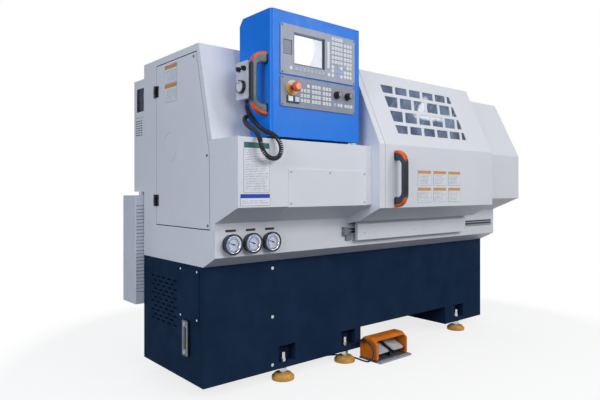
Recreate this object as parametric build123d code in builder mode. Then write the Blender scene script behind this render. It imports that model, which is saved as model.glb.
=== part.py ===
import math
import os

from build123d import *

os.makedirs("parts", exist_ok=True)

# Base
base_length = 1962
base_depth = 545
base_top = 525
ground_gap = 50
base_wall = 16
base_plate = 20
pedestal_length = 885
leg_length = 369
bridge_height = 150

# Levelling feet
pad_diameter = 100
pad_height = 26
bolt_diameter = 20
bolt_height = 118
pad_setback = 12
pad_stations = [405, 785, base_length - 248]
pocket_width = 93
pocket_height = 72
pocket_depth = 46
pocket_floor = 26
pocket_left_of_pad = 32
bolt_clearance = 0.6

# Gland where the foot switch's cable enters the base
cable_gland = 24
cable_gland_diameter = 15
cable_gland_depth = 400
cable_gland_level = 104

# Vent slots, small cover and sight gauge in the base's end
slot_length = 34
slot_height = 7
slot_pitch = 53
slot_row_pitch = 38
slot_columns = 5
slot_rows = 6
slot_centre = (343.5, 348)
end_plate_width = 160
end_plate_height = 215
end_plate_centre = (110, 407.5)
gauge_width = 50
gauge_height = 146
gauge_centre = (127, 226)
plate_thickness = 3

# Sheet metal enclosure
sheet = 3
gap = 4
seam = 1
tray_reach = 88
tray_slope_top = 568
tray_rim = 672
box_reach = 243
box_under = 764
box_top = 1020
housing_length = 700
housing_foot = 65
housing_brow = 36
housing_top = 1410
roof_height = 1340

# End door
door_back = base_depth - 132
door_low = 676
door_high = 1378
door_pan = 20
door_front_line = [(-48, door_low), (-43, 973), (57, door_high)]
knockout_diameter = 126
hinge_heights = [door_low + 106, door_high - 112]
hinge_height = 50
hinge_pin = 6
hinge_knuckle = 12
hinge_standoff = 7
hinge_leaf = 24
pin_clearance = 0.05

# Sliding door
door_left = 737
door_width = 871
door_reach = 289
door_under = 749
door_lip = (-166, 688)
door_kink = 1029
door_brow = (-127, 1383)
door_flange = 30
window_left = 118
window_width = 549
window_start = 62
window_rows = [44, 58, 60, 44]
window_bar = 19
pane_pitch = 105
pane_slant = 0.436
window_margin = 16
window_thickness = 4

# Apron, rollers and rail under the door
apron_front = 122
apron_thickness = 17
apron_low = 596
roller_stations = [84.5, 450.5]
roller_diameter = 23.4
roller_width = 9
axle_diameter = 8
rail_height = 640
rail_inside = 24
rail_metal = 2.5
rail_depth = 15.5
rail_left = 690
rail_right = base_length - 32

# Bow handles
handle_height = 252
handle_reach = 63
handle_leg = 45
handle_grip = 27
handle_width = 28
handle_round = 8

# Tailstock end cover
cover_left = base_length - 402
cover_reach = 250
cover_kink = 1023
cover_low = 781
cover_foot = 712
cover_brow = 98
cover_hem = 30
cover_edge = 25

# Electrical cabinet and coolant cooler at the back
cabinet_length = 900
cabinet_depth = 114
cabinet_low = 820
cabinet_high = 1347
cooler_overhang = 40
cooler_length = 480
cooler_standoff = 5
cooler_depth = 146
cooler_front = base_depth + cooler_standoff
cooler_back = cooler_front + cooler_depth
cooler_low = 298
cooler_high = 802
louvre_pitch = 16
louvre_count = 26
louvre_top = 756

# Pressure gauges
gauge_stations = [69, 163, 257]
gauge_level = 618.5
dial_diameter = 81
dial_depth = 26

# Headstock and spindle
spindle_depth = base_depth - 264
spindle_height = 1012
spindle_diameter = 90
spindle_rear = 94
spindle_nose = 716
running_clearance = 0.06
headstock_left = 170
headstock_right = 690
headstock_width = 330
headstock_height = 300
bed_top = 832
bed_width = 300
bed_right = base_length - 102
pulley_left = 96
pulley_width = 46
spindle_pulley = 180
motor_pulley_diameter = 120
motor_depth = base_depth - 135
motor_height = 1262
motor_size = 190
motor_shaft = 38
belt_thickness = 5
chuck_diameter = 200
chuck_length = 78
jaw_travel = 3
bulkhead_bore = 190

# Carriage, cross slide, tool turret and tailstock
carriage_left = 1010
carriage_length = 260
carriage_height = 44
carriage_travel = 150
cross_length = 150
cross_height = 42
cross_depth = 300
turret_size = 128
turret_height = 96
slide_clearance = 0.3
tail_width = 260
tail_left = base_length - 492
tail_length = 230
quill_diameter = 70
quill_reach = 120

# Operator's pendant
case_left = 161
case_width = 485
case_front = 225
case_low = 1032
case_high = 1518
case_round = 15
panel_left = 204
panel_width = 402
panel_proud = 5
panel_inside = 22
unit_low = 1275
unit_height = 194
console_low = 1150
console_height = 118
key_proud = 1.2
post_station = 618
post_depth = -190
post_diameter = 32
post_collar = 62
knob_diameter = 32
knob_height = 25
knob_stations = [498, 560.5]
knob_level = 1222
stop_station = 260
stop_level = 1225
stop_ring = 58
stop_head = 39
stop_stem = 20
stop_travel = 4
button_size = 21
button_stations = [247, 279]
button_level = 1180
button_travel = 2.5
button_clearance = 0.3
wheel_depth = -90
wheel_level = 1231
wheel_diameter = 52
wheel_case_low = 1182
wheel_case_height = 148
wheel_case_width = 84
wheel_case_depth = 40
selector_diameter = 20
selector_pitch = 36
selector_level = 1301
handle_depth = -193
pendant_handle_low = 1112
pendant_handle_height = 242

# Foot switch
guard_left = 873
guard_width = 232
guard_height = 112
guard_front = -117
guard_depth = 114
guard_wall = 8
pedal_width = 78
pedal_pin = 8
plate_height = 9

# The origin is on the floor under the middle of the machine's outline
left = (cooler_overhang - base_length) / 2
front = (door_reach + handle_reach - cooler_back) / 2


def section(station):
    """Upright plane across the machine: depth behind the base's front, then height."""
    return Plane(origin=(left + station, front, 0), x_dir=(0, 1, 0), z_dir=(1, 0, 0))


def elevation(depth):
    """Upright plane along the machine, facing the operator: station, then height."""
    return Plane(origin=(left, front + depth, 0), x_dir=(1, 0, 0), z_dir=(0, -1, 0))


def level(height):
    """Level plane: station along the machine, then depth behind the base's front."""
    return Plane(origin=(left, front, height), x_dir=(1, 0, 0), z_dir=(0, 0, 1))


def beside(points, distance):
    """The line that runs a distance to the right of a line of straight stretches."""
    moved = []
    for i, (u, v) in enumerate(points):
        before = points[max(i - 1, 0)]
        after = points[min(i + 1, len(points) - 1)]
        ahead = Vector(after) - Vector(u, v) if i < len(points) - 1 else Vector(u, v) - Vector(before)
        behind = Vector(u, v) - Vector(before) if i else ahead
        right_ahead = Vector(ahead.Y, -ahead.X).normalized()
        right_behind = Vector(behind.Y, -behind.X).normalized()
        bisector = (right_ahead + right_behind).normalized()
        reach = distance / bisector.dot(right_ahead)
        moved.append((u + reach * bisector.X, v + reach * bisector.Y))
    return moved


def folded_sheet(points, thickness):
    """The section of a sheet folded along points, its metal on the right of the way they run."""
    return filled(list(points) + beside(points, thickness)[::-1])


def filled(points):
    """A closed face with straight sides."""
    with BuildSketch() as outline:
        with BuildLine():
            Polyline(points, close=True)
        make_face()
    return outline.sketch


def bow_outline(height, reach, leg, grip):
    """The side view of a moulded bow handle, standing on the left at zero, bottom at zero."""
    slope = reach * 0.55
    with BuildSketch() as outline:
        with BuildLine():
            Polyline(
                (0, 0), (reach - slope, 0), (reach, slope), (reach, height - slope),
                (reach - slope, height), (0, height), close=True,
            )
        make_face()
        with BuildLine():
            Polyline(
                (0, leg), (reach - grip, leg), (reach - grip, height - leg), (0, height - leg),
                close=True,
            )
        make_face(mode=Mode.SUBTRACT)
        corners = outline.vertices().filter_by(lambda v: v.X > 1)
        inner = [v for v in corners if leg - 1 < v.Y < height - leg + 1 and v.X < reach - 1]
        outer = [v for v in corners if v not in inner]
        fillet(inner, grip * 0.45)
        fillet(outer, slope * 0.6)
    return outline.sketch


# Cast base with its two pedestals, bolt pockets and vent slots
leg_left = base_length - leg_length
rear_setback = base_depth - pad_setback
with BuildPart() as base_casting:
    with BuildSketch(elevation(base_depth)):
        with BuildLine():
            Polyline(
                (0, ground_gap), (pedestal_length, ground_gap), (pedestal_length, bridge_height),
                (leg_left, bridge_height), (leg_left, ground_gap), (base_length, ground_gap),
                (base_length, base_top), (0, base_top), close=True,
            )
        make_face()
    extrude(amount=base_depth)
    for start, length in ((0, pedestal_length), (leg_left, leg_length)):
        with BuildSketch(level(ground_gap)):
            with Locations((start + length / 2, base_depth / 2)):
                Rectangle(length - 2 * base_wall, base_depth - 2 * base_wall)
        extrude(amount=base_top - base_plate - ground_gap, mode=Mode.SUBTRACT)
    lug_height = pocket_floor + pocket_height + base_wall
    with BuildSketch(level(ground_gap)):
        for station in pad_stations:
            middle = station - pocket_left_of_pad + pocket_width / 2
            with Locations((middle, 0)):
                Rectangle(pocket_width + 2 * base_wall, pocket_depth + base_wall, align=(Align.CENTER, Align.MIN))
            with Locations((middle, base_depth)):
                Rectangle(pocket_width + 2 * base_wall, pocket_depth + base_wall, align=(Align.CENTER, Align.MAX))
    extrude(amount=lug_height)
    with BuildSketch(elevation(pocket_depth)):
        for station in pad_stations:
            with Locations((station - pocket_left_of_pad, ground_gap + pocket_floor)):
                Rectangle(pocket_width, pocket_height, align=(Align.MIN, Align.MIN))
    extrude(amount=pocket_depth, mode=Mode.SUBTRACT)
    with BuildSketch(elevation(base_depth)):
        for station in pad_stations:
            with Locations((station - pocket_left_of_pad, ground_gap + pocket_floor)):
                Rectangle(pocket_width, pocket_height, align=(Align.MIN, Align.MIN))
    extrude(amount=pocket_depth, mode=Mode.SUBTRACT)
    with BuildSketch(level(ground_gap)):
        for station in pad_stations:
            with Locations((station, pad_setback), (station, rear_setback)):
                Circle(bolt_diameter / 2 + bolt_clearance)
    extrude(amount=pocket_floor + 1, mode=Mode.SUBTRACT)
    with BuildSketch(section(0)):
        with Locations(slot_centre):
            with GridLocations(slot_pitch, slot_row_pitch, slot_columns, slot_rows):
                Rectangle(slot_length, slot_height)
            with GridLocations(slot_pitch, slot_row_pitch, slot_columns - 1, slot_rows - 1):
                Rectangle(slot_length, slot_height)
    extrude(amount=base_wall, mode=Mode.SUBTRACT)
    with BuildSketch(section(pedestal_length)):
        with Locations((cable_gland_depth, cable_gland_level)):
            Circle(cable_gland_diameter / 2)
    extrude(amount=cable_gland)
base_casting.part.label = "base_casting"
export_step(base_casting.part, "parts/base_casting.step")

# Levelling pads on the floor and the bolts that stand in them
with BuildPart() as levelling_pads:
    for station in pad_stations:
        for depth in (pad_setback, rear_setback):
            with BuildSketch(level(0)):
                with Locations((station, depth)):
                    Circle(pad_diameter / 2)
            extrude(amount=pad_height)
    chamfer(levelling_pads.edges().filter_by(GeomType.CIRCLE).group_by(Axis.Z)[-1], pad_height / 2)
levelling_pads.part.label = "levelling_pads"
export_step(levelling_pads.part, "parts/levelling_pads.step")

nut_flat = 30
nut_height = 16
with BuildPart() as levelling_bolts:
    for station in pad_stations:
        for depth in (pad_setback, rear_setback):
            spot = (station, depth)
            with BuildSketch(level(pad_height)):
                with Locations(spot):
                    Circle(bolt_diameter / 2)
            extrude(amount=bolt_height - pad_height)
            with BuildSketch(level(ground_gap - nut_height)):
                with Locations(spot):
                    RegularPolygon(nut_flat / 2, 6, major_radius=False)
            extrude(amount=nut_height)
            with BuildSketch(level(ground_gap + pocket_floor)):
                with Locations(spot):
                    RegularPolygon(nut_flat / 2 - 5, 6, major_radius=False)
            extrude(amount=nut_height)
levelling_bolts.part.label = "levelling_bolts"
export_step(levelling_bolts.part, "parts/levelling_bolts.step")

# Small cover on the base's left end
with BuildPart() as end_inspection_plate:
    with BuildSketch(section(-plate_thickness)):
        with Locations(end_plate_centre):
            RectangleRounded(end_plate_width, end_plate_height, 6)
    extrude(amount=plate_thickness)
end_inspection_plate.part.label = "end_inspection_plate"
export_step(end_inspection_plate.part, "parts/end_inspection_plate.step")

# Oil sight gauge: a black body with a bright tube between two screws
gauge_thickness = 12
tube_diameter = 14
screw_diameter = 16
with BuildPart() as oil_sight_gauge:
    with BuildSketch(section(-gauge_thickness)):
        with Locations(gauge_centre):
            RectangleRounded(gauge_width, gauge_height, 8)
        with Locations(gauge_centre):
            Rectangle(tube_diameter + 8, gauge_height * 0.6, mode=Mode.SUBTRACT)
    extrude(amount=gauge_thickness)
    with BuildSketch(section(-4)):
        with Locations(gauge_centre):
            Rectangle(tube_diameter + 8, gauge_height * 0.6)
    extrude(amount=4)
    with BuildSketch(level(gauge_centre[1] - gauge_height * 0.3)):
        with Locations((-gauge_thickness + 3, gauge_centre[0])):
            Circle(tube_diameter / 2 - 1)
    extrude(amount=gauge_height * 0.6)
    with BuildSketch(section(-gauge_thickness - 5)):
        with Locations(gauge_centre):
            with GridLocations(1, gauge_height * 0.78, 1, 2):
                Circle(screw_diameter / 2)
    extrude(amount=6)
oil_sight_gauge.part.label = "oil_sight_gauge"
export_step(oil_sight_gauge.part, "parts/oil_sight_gauge.step")

# Chip tray, folded up all round on top of the base
tray_points = [
    (-tray_reach, tray_rim), (-tray_reach, tray_slope_top), (0, base_top),
    (base_depth, base_top), (base_depth, tray_rim),
]
with BuildPart() as chip_tray:
    with BuildSketch(section(0)):
        add(folded_sheet(tray_points, -sheet))
    extrude(amount=base_length)
    for station in (0, base_length - sheet):
        with BuildSketch(section(station)):
            add(filled(tray_points))
        extrude(amount=sheet)
chip_tray.part.label = "chip_tray"
export_step(chip_tray.part, "parts/chip_tray.step")

# Pressure gauges on the front of the tray
bezel_ring = 6
with BuildPart() as pressure_gauges:
    for station in gauge_stations:
        with BuildSketch(elevation(-tray_reach)):
            with Locations((station, gauge_level)):
                Circle(dial_diameter / 2 - bezel_ring / 2)
        extrude(amount=dial_depth - 6)
        with BuildSketch(elevation(-tray_reach - dial_depth + 10)):
            with Locations((station, gauge_level)):
                Circle(dial_diameter / 2)
                Circle(dial_diameter / 2 - bezel_ring, mode=Mode.SUBTRACT)
        extrude(amount=10)
pressure_gauges.part.label = "pressure_gauges"
export_step(pressure_gauges.part, "parts/pressure_gauges.step")

# Sheet metal box in front of the headstock
box_points = [
    (-tray_reach, tray_rim), (-tray_reach, 700), (-box_reach, box_under),
    (-box_reach, box_top), (-housing_foot, box_top),
]


def door_line(height, clear):
    """Depth of the end door's front edge at a height, moved forward by a clearance."""
    (d0, h0), (d1, h1), (d2, h2) = door_front_line
    if height < h1:
        return d0 + (d1 - d0) * (height - h0) / (h1 - h0) - clear
    return d1 + (d2 - d1) * (height - h1) / (h2 - h1) - clear


kink = door_front_line[1][1]
box_end = box_points + [
    (-housing_foot, box_top - seam), (door_line(box_top, gap), box_top - seam), (door_line(kink, gap), kink),
    (door_line(tray_rim, gap), tray_rim),
]
with BuildPart() as headstock_cover:
    with BuildSketch(section(0)):
        add(folded_sheet(box_points, sheet))
    extrude(amount=housing_length)
    with BuildSketch(section(0)):
        add(filled(box_end))
    extrude(amount=sheet)
headstock_cover.part.label = "headstock_cover"
export_step(headstock_cover.part, "parts/headstock_cover.step")

# Housing over the headstock, open at its left end for the door
housing_points = [
    (-housing_foot, box_top), (housing_brow, housing_top), (base_depth, housing_top), (base_depth, tray_rim),
]
housing_end = housing_points + [
    (door_back + gap, tray_rim), (door_back + gap, door_high + gap),
    (door_line(door_high + gap, gap), door_high + gap), (door_line(box_top, gap), box_top),
]
with BuildPart() as upper_housing:
    with BuildSketch(section(0)):
        add(folded_sheet(housing_points, sheet))
    extrude(amount=housing_length)
    with BuildSketch(section(0)):
        add(filled(housing_end))
    extrude(amount=sheet)
upper_housing.part.label = "upper_housing"
export_step(upper_housing.part, "parts/upper_housing.step")

# Bolted access plate that wraps under the box's lower fold
plate_left = 229
plate_length = 432
plate_right = plate_left + plate_length
plate_top = box_under + 145
under_slope = (box_under - 700) / (box_reach - tray_reach)
plate_tuck = 60
plate_points = [
    (-box_reach + plate_tuck, box_under - plate_tuck * under_slope),
    (-box_reach, box_under), (-box_reach, plate_top),
]
with BuildPart() as access_plate:
    with BuildSketch(section(plate_left)):
        add(folded_sheet(plate_points, -plate_thickness))
    extrude(amount=plate_right - plate_left)
access_plate.part.label = "access_plate"
export_step(access_plate.part, "parts/access_plate.step")

# Button-headed screws of the covers
screw_head = 9
screw_rise = 2.5
screw_inset = 12
bolt_column = 337
bolt_levels = [base_top - 33, base_top - 242, ground_gap + 26]
bolt_head = 14
plate_face = -box_reach - plate_thickness
with BuildPart() as cover_screws:
    with BuildSketch(elevation(plate_face)):
        for station in (plate_left + screw_inset, (plate_left + plate_right) / 2, plate_right - screw_inset):
            with Locations((station, plate_top - screw_inset)):
                Circle(screw_head / 2)
        for station in (plate_left + screw_inset, plate_right - screw_inset):
            with Locations((station, box_under + screw_inset)):
                Circle(screw_head / 2)
    extrude(amount=screw_rise)
    with BuildSketch(section(-plate_thickness - screw_rise)):
        with Locations(end_plate_centre):
            with GridLocations(end_plate_width - 2 * screw_inset, end_plate_height - 2 * screw_inset, 2, 2):
                Circle(screw_head / 2)
    extrude(amount=screw_rise)
    with BuildSketch(elevation(0)):
        for height in bolt_levels:
            with Locations((bolt_column, height)):
                Circle(bolt_head / 2)
    extrude(amount=screw_rise)
cover_screws.part.label = "cover_screws"
export_step(cover_screws.part, "parts/cover_screws.step")

# Bulkhead between headstock and work area, folded forward into the door's left jamb
jamb_points = [door_lip, (-door_reach, door_under), (-door_reach, door_kink), door_brow]
bulkhead_outline = [(-tray_reach, tray_rim)] + jamb_points + [
    (housing_brow, housing_top), (base_depth, housing_top), (base_depth, tray_rim),
]
with BuildPart() as headstock_bulkhead:
    with BuildSketch(section(housing_length)):
        add(filled(bulkhead_outline))
        with Locations((spindle_depth, spindle_height)):
            Circle(bulkhead_bore / 2, mode=Mode.SUBTRACT)
        with Locations((spindle_depth, tray_rim)):
            Rectangle(
                bulkhead_bore, spindle_height - tray_rim,
                align=(Align.CENTER, Align.MIN), mode=Mode.SUBTRACT,
            )
            Rectangle(
                bed_width + 2 * gap, bed_top + gap - tray_rim,
                align=(Align.CENTER, Align.MIN), mode=Mode.SUBTRACT,
            )
    extrude(amount=sheet)
    with BuildSketch(section(housing_length)):
        add(folded_sheet(jamb_points, sheet))
    extrude(amount=door_left - housing_length - gap / 2)
headstock_bulkhead.part.label = "headstock_bulkhead"
export_step(headstock_bulkhead.part, "parts/headstock_bulkhead.step")

# Back wall and roof of the work area
wall_left = housing_length + sheet
wall_points = [(-cover_brow + cover_hem, roof_height), (base_depth, roof_height), (base_depth, tray_rim)]
with BuildPart() as rear_guard:
    with BuildSketch(section(wall_left)):
        add(folded_sheet(wall_points, sheet))
    extrude(amount=base_length - wall_left - sheet)
rear_guard.part.label = "rear_guard"
export_step(rear_guard.part, "parts/rear_guard.step")

# Fixed cover over the tailstock end
cover_points = [
    (-tray_reach, tray_rim), (-tray_reach, cover_foot), (-cover_reach, cover_low),
    (-cover_reach, cover_kink), (-cover_brow, roof_height), (-cover_brow + cover_hem, roof_height),
]
with BuildPart() as end_cover:
    with BuildSketch(section(cover_left)):
        add(folded_sheet(cover_points, sheet))
    extrude(amount=base_length - cover_left)
    with BuildSketch(section(base_length - sheet)):
        add(filled(cover_points + [(base_depth, roof_height), (base_depth, tray_rim)]))
    extrude(amount=sheet)
    with BuildSketch(section(cover_left)):
        add(folded_sheet(cover_points, cover_edge))
    extrude(amount=sheet)
end_cover.part.label = "end_cover"
export_step(end_cover.part, "parts/end_cover.step")

# Hinged door over the belt drive
door_outline = door_front_line + [(door_back, door_high), (door_back, door_low)]
knuckle_part = hinge_height / 4
with BuildPart() as end_door:
    with BuildSketch(section(0)):
        add(filled(door_outline))
    extrude(amount=door_pan)
    with BuildSketch(section(sheet)):
        add(offset(filled(door_outline), -sheet, kind=Kind.INTERSECTION, mode=Mode.PRIVATE))
    extrude(amount=door_pan, mode=Mode.SUBTRACT)
    with BuildSketch(section(0)):
        with Locations((spindle_depth, spindle_height)):
            Circle(knockout_diameter / 2)
            Circle(knockout_diameter / 2 - 2, mode=Mode.SUBTRACT)
    extrude(amount=1.2, mode=Mode.SUBTRACT)
    hinge_depth = door_back + gap / 2
    for height in hinge_heights:
        with BuildSketch(level(height - knuckle_part)):
            with Locations((-hinge_standoff, hinge_depth)):
                Circle(hinge_knuckle / 2)
            with Locations((0, hinge_depth)):
                Rectangle(sheet, hinge_leaf, align=(Align.MAX, Align.MAX))
            with Locations((-hinge_standoff, hinge_depth)):
                Circle(hinge_pin / 2 + pin_clearance, mode=Mode.SUBTRACT)
        extrude(amount=2 * knuckle_part)
        with BuildSketch(level(height - hinge_height / 2)):
            with Locations((0, hinge_depth - hinge_knuckle / 2 - 1)):
                Rectangle(sheet, hinge_leaf - hinge_knuckle / 2 - 1, align=(Align.MAX, Align.MAX))
        extrude(amount=hinge_height)
end_door.part.label = "end_door"
export_step(end_door.part, "parts/end_door.step")

# Fixed leaves and pins of the end door's hinges
knuckle_gap = 0.4
with BuildPart() as end_door_hinges:
    for height in hinge_heights:
        with BuildSketch(level(height - hinge_height / 2)):
            with Locations((0, hinge_depth + hinge_knuckle / 2 + 1)):
                Rectangle(sheet, hinge_leaf - hinge_knuckle / 2 - 1, align=(Align.MAX, Align.MIN))
            with Locations((-hinge_standoff, hinge_depth)):
                Circle(hinge_pin / 2)
        extrude(amount=hinge_height)
        for low in (height - hinge_height / 2, height + knuckle_part + knuckle_gap):
            with BuildSketch(level(low)):
                with Locations((-hinge_standoff, hinge_depth)):
                    Circle(hinge_knuckle / 2)
                with Locations((0, hinge_depth)):
                    Rectangle(sheet, hinge_leaf, align=(Align.MAX, Align.MIN))
            extrude(amount=knuckle_part - knuckle_gap)
end_door_hinges.part.label = "end_door_hinges"
export_step(end_door_hinges.part, "parts/end_door_hinges.step")

# Sliding door: a folded sheet with a window grille in its slope
apron_back = apron_front - apron_thickness
door_points = [(-apron_back, door_lip[1]), door_lip] + jamb_points[1:] + [
    (door_brow[0] + door_flange, door_brow[1]),
]
slope_rise = door_brow[1] - door_kink
slope_run = door_brow[0] + door_reach
slope_length = math.hypot(slope_rise, slope_run)
slope_out = (0, -slope_rise / slope_length, slope_run / slope_length)
slope_plane = Plane(
    origin=(left + door_left, front - door_reach, door_kink), x_dir=(1, 0, 0), z_dir=slope_out
)


def window_panes(low, height):
    """One row of panes: slanted bars between two upright ends."""
    lean = pane_slant * height / 2
    bars = int(window_width // pane_pitch)
    with BuildSketch() as row:
        with Locations((window_left + window_width / 2, low + height / 2)):
            Rectangle(window_width, height)
        for i in range(1, bars + 1):
            right = window_left + i * pane_pitch - window_bar * 1.35
            add(
                filled([
                    (right - lean, low - 1), (right + window_bar - lean, low - 1),
                    (right + window_bar + lean, low + height + 1), (right + lean, low + height + 1),
                ]),
                mode=Mode.SUBTRACT,
            )
    return row.sketch


window_height = sum(window_rows) + window_bar * (len(window_rows) - 1)
with BuildPart() as door_panel:
    with BuildSketch(section(door_left)):
        add(folded_sheet(door_points, sheet))
    extrude(amount=door_width)
    for station in (door_left, door_left + door_width - sheet):
        with BuildSketch(section(station)):
            add(folded_sheet(door_points[1:], door_flange))
        extrude(amount=sheet)
    low = window_start
    with BuildSketch(slope_plane):
        for height in window_rows:
            add(window_panes(low, height))
            low += height + window_bar
    extrude(amount=-sheet, mode=Mode.SUBTRACT)
door_panel.part.label = "door_panel"
export_step(door_panel.part, "parts/door_panel.step")

with BuildPart() as door_window:
    with BuildSketch(slope_plane.offset(-sheet)):
        with Locations((window_left + window_width / 2, window_start + window_height / 2)):
            RectangleRounded(window_width + 2 * window_margin, window_height + 2 * window_margin, 10)
    extrude(amount=-window_thickness)
door_window.part.label = "door_window"
export_step(door_window.part, "parts/door_window.step")

# Apron below the door with the two roller axles
axle_reach = apron_back - tray_reach - rail_metal - 1
with BuildPart() as door_apron:
    with BuildSketch(section(door_left)):
        add(filled([
            (-apron_front, apron_low), (-apron_back, apron_low), (-apron_back, door_lip[1]),
            (-apron_front + 6, door_lip[1]), (-apron_front + 6, tray_rim), (-apron_front, tray_rim),
        ]))
    extrude(amount=door_width)
    with BuildSketch(elevation(-apron_back + axle_reach)):
        for station in roller_stations:
            with Locations((door_left + station, rail_height)):
                Circle(axle_diameter / 2)
    extrude(amount=axle_reach + 4)
    with BuildSketch(elevation(-tray_reach - rail_metal - 1.5)):
        for station in roller_stations:
            with Locations((door_left + station, rail_height)):
                Circle(roller_diameter / 2)
    extrude(amount=roller_width)
    with BuildSketch(elevation(-apron_front)):
        for station in roller_stations:
            with Locations((door_left + station, rail_height - 11)):
                with GridLocations(73, 1, 2, 1):
                    Circle(screw_head / 2)
    extrude(amount=screw_rise)
door_apron.part.label = "door_apron"
export_step(door_apron.part, "parts/door_apron.step")

# Rail channel on the tray, with its stop block
rail_back = -tray_reach - rail_metal
rail_low = rail_height - rail_inside / 2
rail_points = [
    (-tray_reach - rail_depth, rail_low), (rail_back, rail_low),
    (rail_back, rail_low + rail_inside), (-tray_reach - rail_depth, rail_low + rail_inside),
]
with BuildPart() as door_rail:
    with BuildSketch(section(rail_left)):
        add(folded_sheet(rail_points, rail_metal))
    extrude(amount=rail_right - rail_left)
    with BuildSketch(section(rail_left - 22)):
        with Locations((-tray_reach - 9, rail_height)):
            Rectangle(18, rail_inside + 14)
    extrude(amount=22)
    with BuildSketch(section(rail_left - 2)):
        with Locations((-tray_reach - 5, rail_height - rail_inside / 2 - 19)):
            Rectangle(10, 24)
    extrude(amount=34)
door_rail.part.label = "door_rail"
export_step(door_rail.part, "parts/door_rail.step")

# Moulded bow handle of the door
handle_station = door_left + 72
handle_low = door_under + 3
handle_plane = Plane(
    origin=(left + handle_station - handle_width / 2, front - door_reach, handle_low),
    x_dir=(0, -1, 0), z_dir=(-1, 0, 0),
)
with BuildPart() as door_handle:
    with BuildSketch(handle_plane):
        add(bow_outline(handle_height, handle_reach, handle_leg, handle_grip))
    extrude(amount=-handle_width)
    outer_edges = door_handle.edges().filter_by(
        lambda e: e.center().Y < front - door_reach - 1
    ).filter_by(Axis.X, reverse=True)
    fillet(outer_edges, handle_round)
door_handle.part.label = "door_handle"
export_step(door_handle.part, "parts/door_handle.step")

# Electrical cabinet on the machine's back
cabinet_front = base_depth + 0.3
cabinet_seam = 1170
with BuildPart() as rear_cabinet:
    with BuildSketch(level(cabinet_low)):
        with Locations((0, cabinet_front)):
            Rectangle(cabinet_length, cabinet_depth, align=(Align.MIN, Align.MIN))
    extrude(amount=cabinet_high - cabinet_low)
    chamfer(rear_cabinet.edges().filter_by(Axis.Z), 2)
    with BuildSketch(section(0)):
        with Locations((cabinet_front + cabinet_depth / 2, cabinet_seam)):
            Rectangle(cabinet_depth, 2)
        with Locations((cabinet_front + 42, 1251.5)):
            Rectangle(76, 109)
        with Locations((cabinet_front + 57, 1120.5)):
            with GridLocations(26, 11, 3, 7):
                Rectangle(20, 4)
    extrude(amount=6, mode=Mode.SUBTRACT)
rear_cabinet.part.label = "rear_cabinet"
export_step(rear_cabinet.part, "parts/rear_cabinet.step")

# Louvred coolant cooler low on the machine's back
with BuildPart() as louvre_box:
    with BuildSketch(level(cooler_low)):
        with Locations((-cooler_overhang, cooler_front)):
            Rectangle(cooler_length, cooler_back - cooler_front, align=(Align.MIN, Align.MIN))
    extrude(amount=cooler_high - cooler_low)
    chamfer(louvre_box.edges().filter_by(Axis.Z), 3)
    with BuildSketch(section(-cooler_overhang + 6)):
        for i in range(louvre_count):
            height = louvre_top - i * louvre_pitch
            add(filled([
                (cooler_front - 1, height), (cooler_front - 1, height - 9),
                (cooler_front + 8, height - 1),
            ]))
    extrude(amount=cooler_length - 12, mode=Mode.SUBTRACT)
    with BuildSketch(elevation(cooler_front)):
        for height in (cooler_low + 60, cooler_high - 60):
            with Locations((cooler_overhang + 60, height), (cooler_length - cooler_overhang - 60, height)):
                Rectangle(40, 30)
    extrude(amount=cooler_front - base_depth - 0.3)
    with BuildSketch(level(cooler_high)):
        with Locations((10, (cooler_front + cooler_back) / 2 - 30)):
            Circle(14)
    extrude(amount=cabinet_low - cooler_high - 0.3)
louvre_box.part.label = "louvre_box"
export_step(louvre_box.part, "parts/louvre_box.step")

# Cast bed with two ways and a chip trough between them
bed_left = headstock_left - 20
bed_floor = base_top + sheet
way_width = 72
trough_depth = 90
bed_half = bed_width / 2
with BuildPart() as bed:
    with BuildSketch(section(bed_left)):
        with Locations((spindle_depth, bed_floor)):
            Rectangle(bed_width, bed_top - bed_floor, align=(Align.CENTER, Align.MIN))
        with Locations((spindle_depth, bed_top - trough_depth)):
            Rectangle(
                bed_width - 2 * way_width, trough_depth, align=(Align.CENTER, Align.MIN), mode=Mode.SUBTRACT
            )
        for side in (-1, 1):
            with Locations((spindle_depth + side * bed_half, bed_top - 110)):
                Rectangle(50, 110, mode=Mode.SUBTRACT)
    extrude(amount=bed_right - bed_left)
bed.part.label = "bed"
export_step(bed.part, "parts/bed.step")

# Headstock casting with its bored spindle housing and bearing cap
cap_length = 9
with BuildPart() as headstock_casting:
    with BuildSketch(section(headstock_left)):
        with BuildLine():
            foot = headstock_width / 2
            shoulder = foot * 0.72
            top = bed_top + headstock_height
            Polyline(
                (spindle_depth - foot, bed_top), (spindle_depth + foot, bed_top),
                (spindle_depth + foot, bed_top + 60), (spindle_depth + shoulder, top),
                (spindle_depth - shoulder, top), (spindle_depth - foot, bed_top + 60), close=True,
            )
        make_face()
    extrude(amount=headstock_right - headstock_left)
    with BuildSketch(section(headstock_right)):
        with Locations((spindle_depth, spindle_height)):
            Circle(bulkhead_bore / 2 - 8)
    extrude(amount=cap_length)
    with BuildSketch(section(headstock_left)):
        with Locations((spindle_depth, spindle_height)):
            Circle(spindle_diameter / 2 + running_clearance)
    extrude(amount=headstock_right - headstock_left + cap_length, mode=Mode.SUBTRACT)
headstock_casting.part.label = "headstock_casting"
export_step(headstock_casting.part, "parts/headstock_casting.step")

# Spindle with its belt pulley and nose flange
spindle_bore = 52
nose_flange = 12
groove_count = 5


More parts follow.
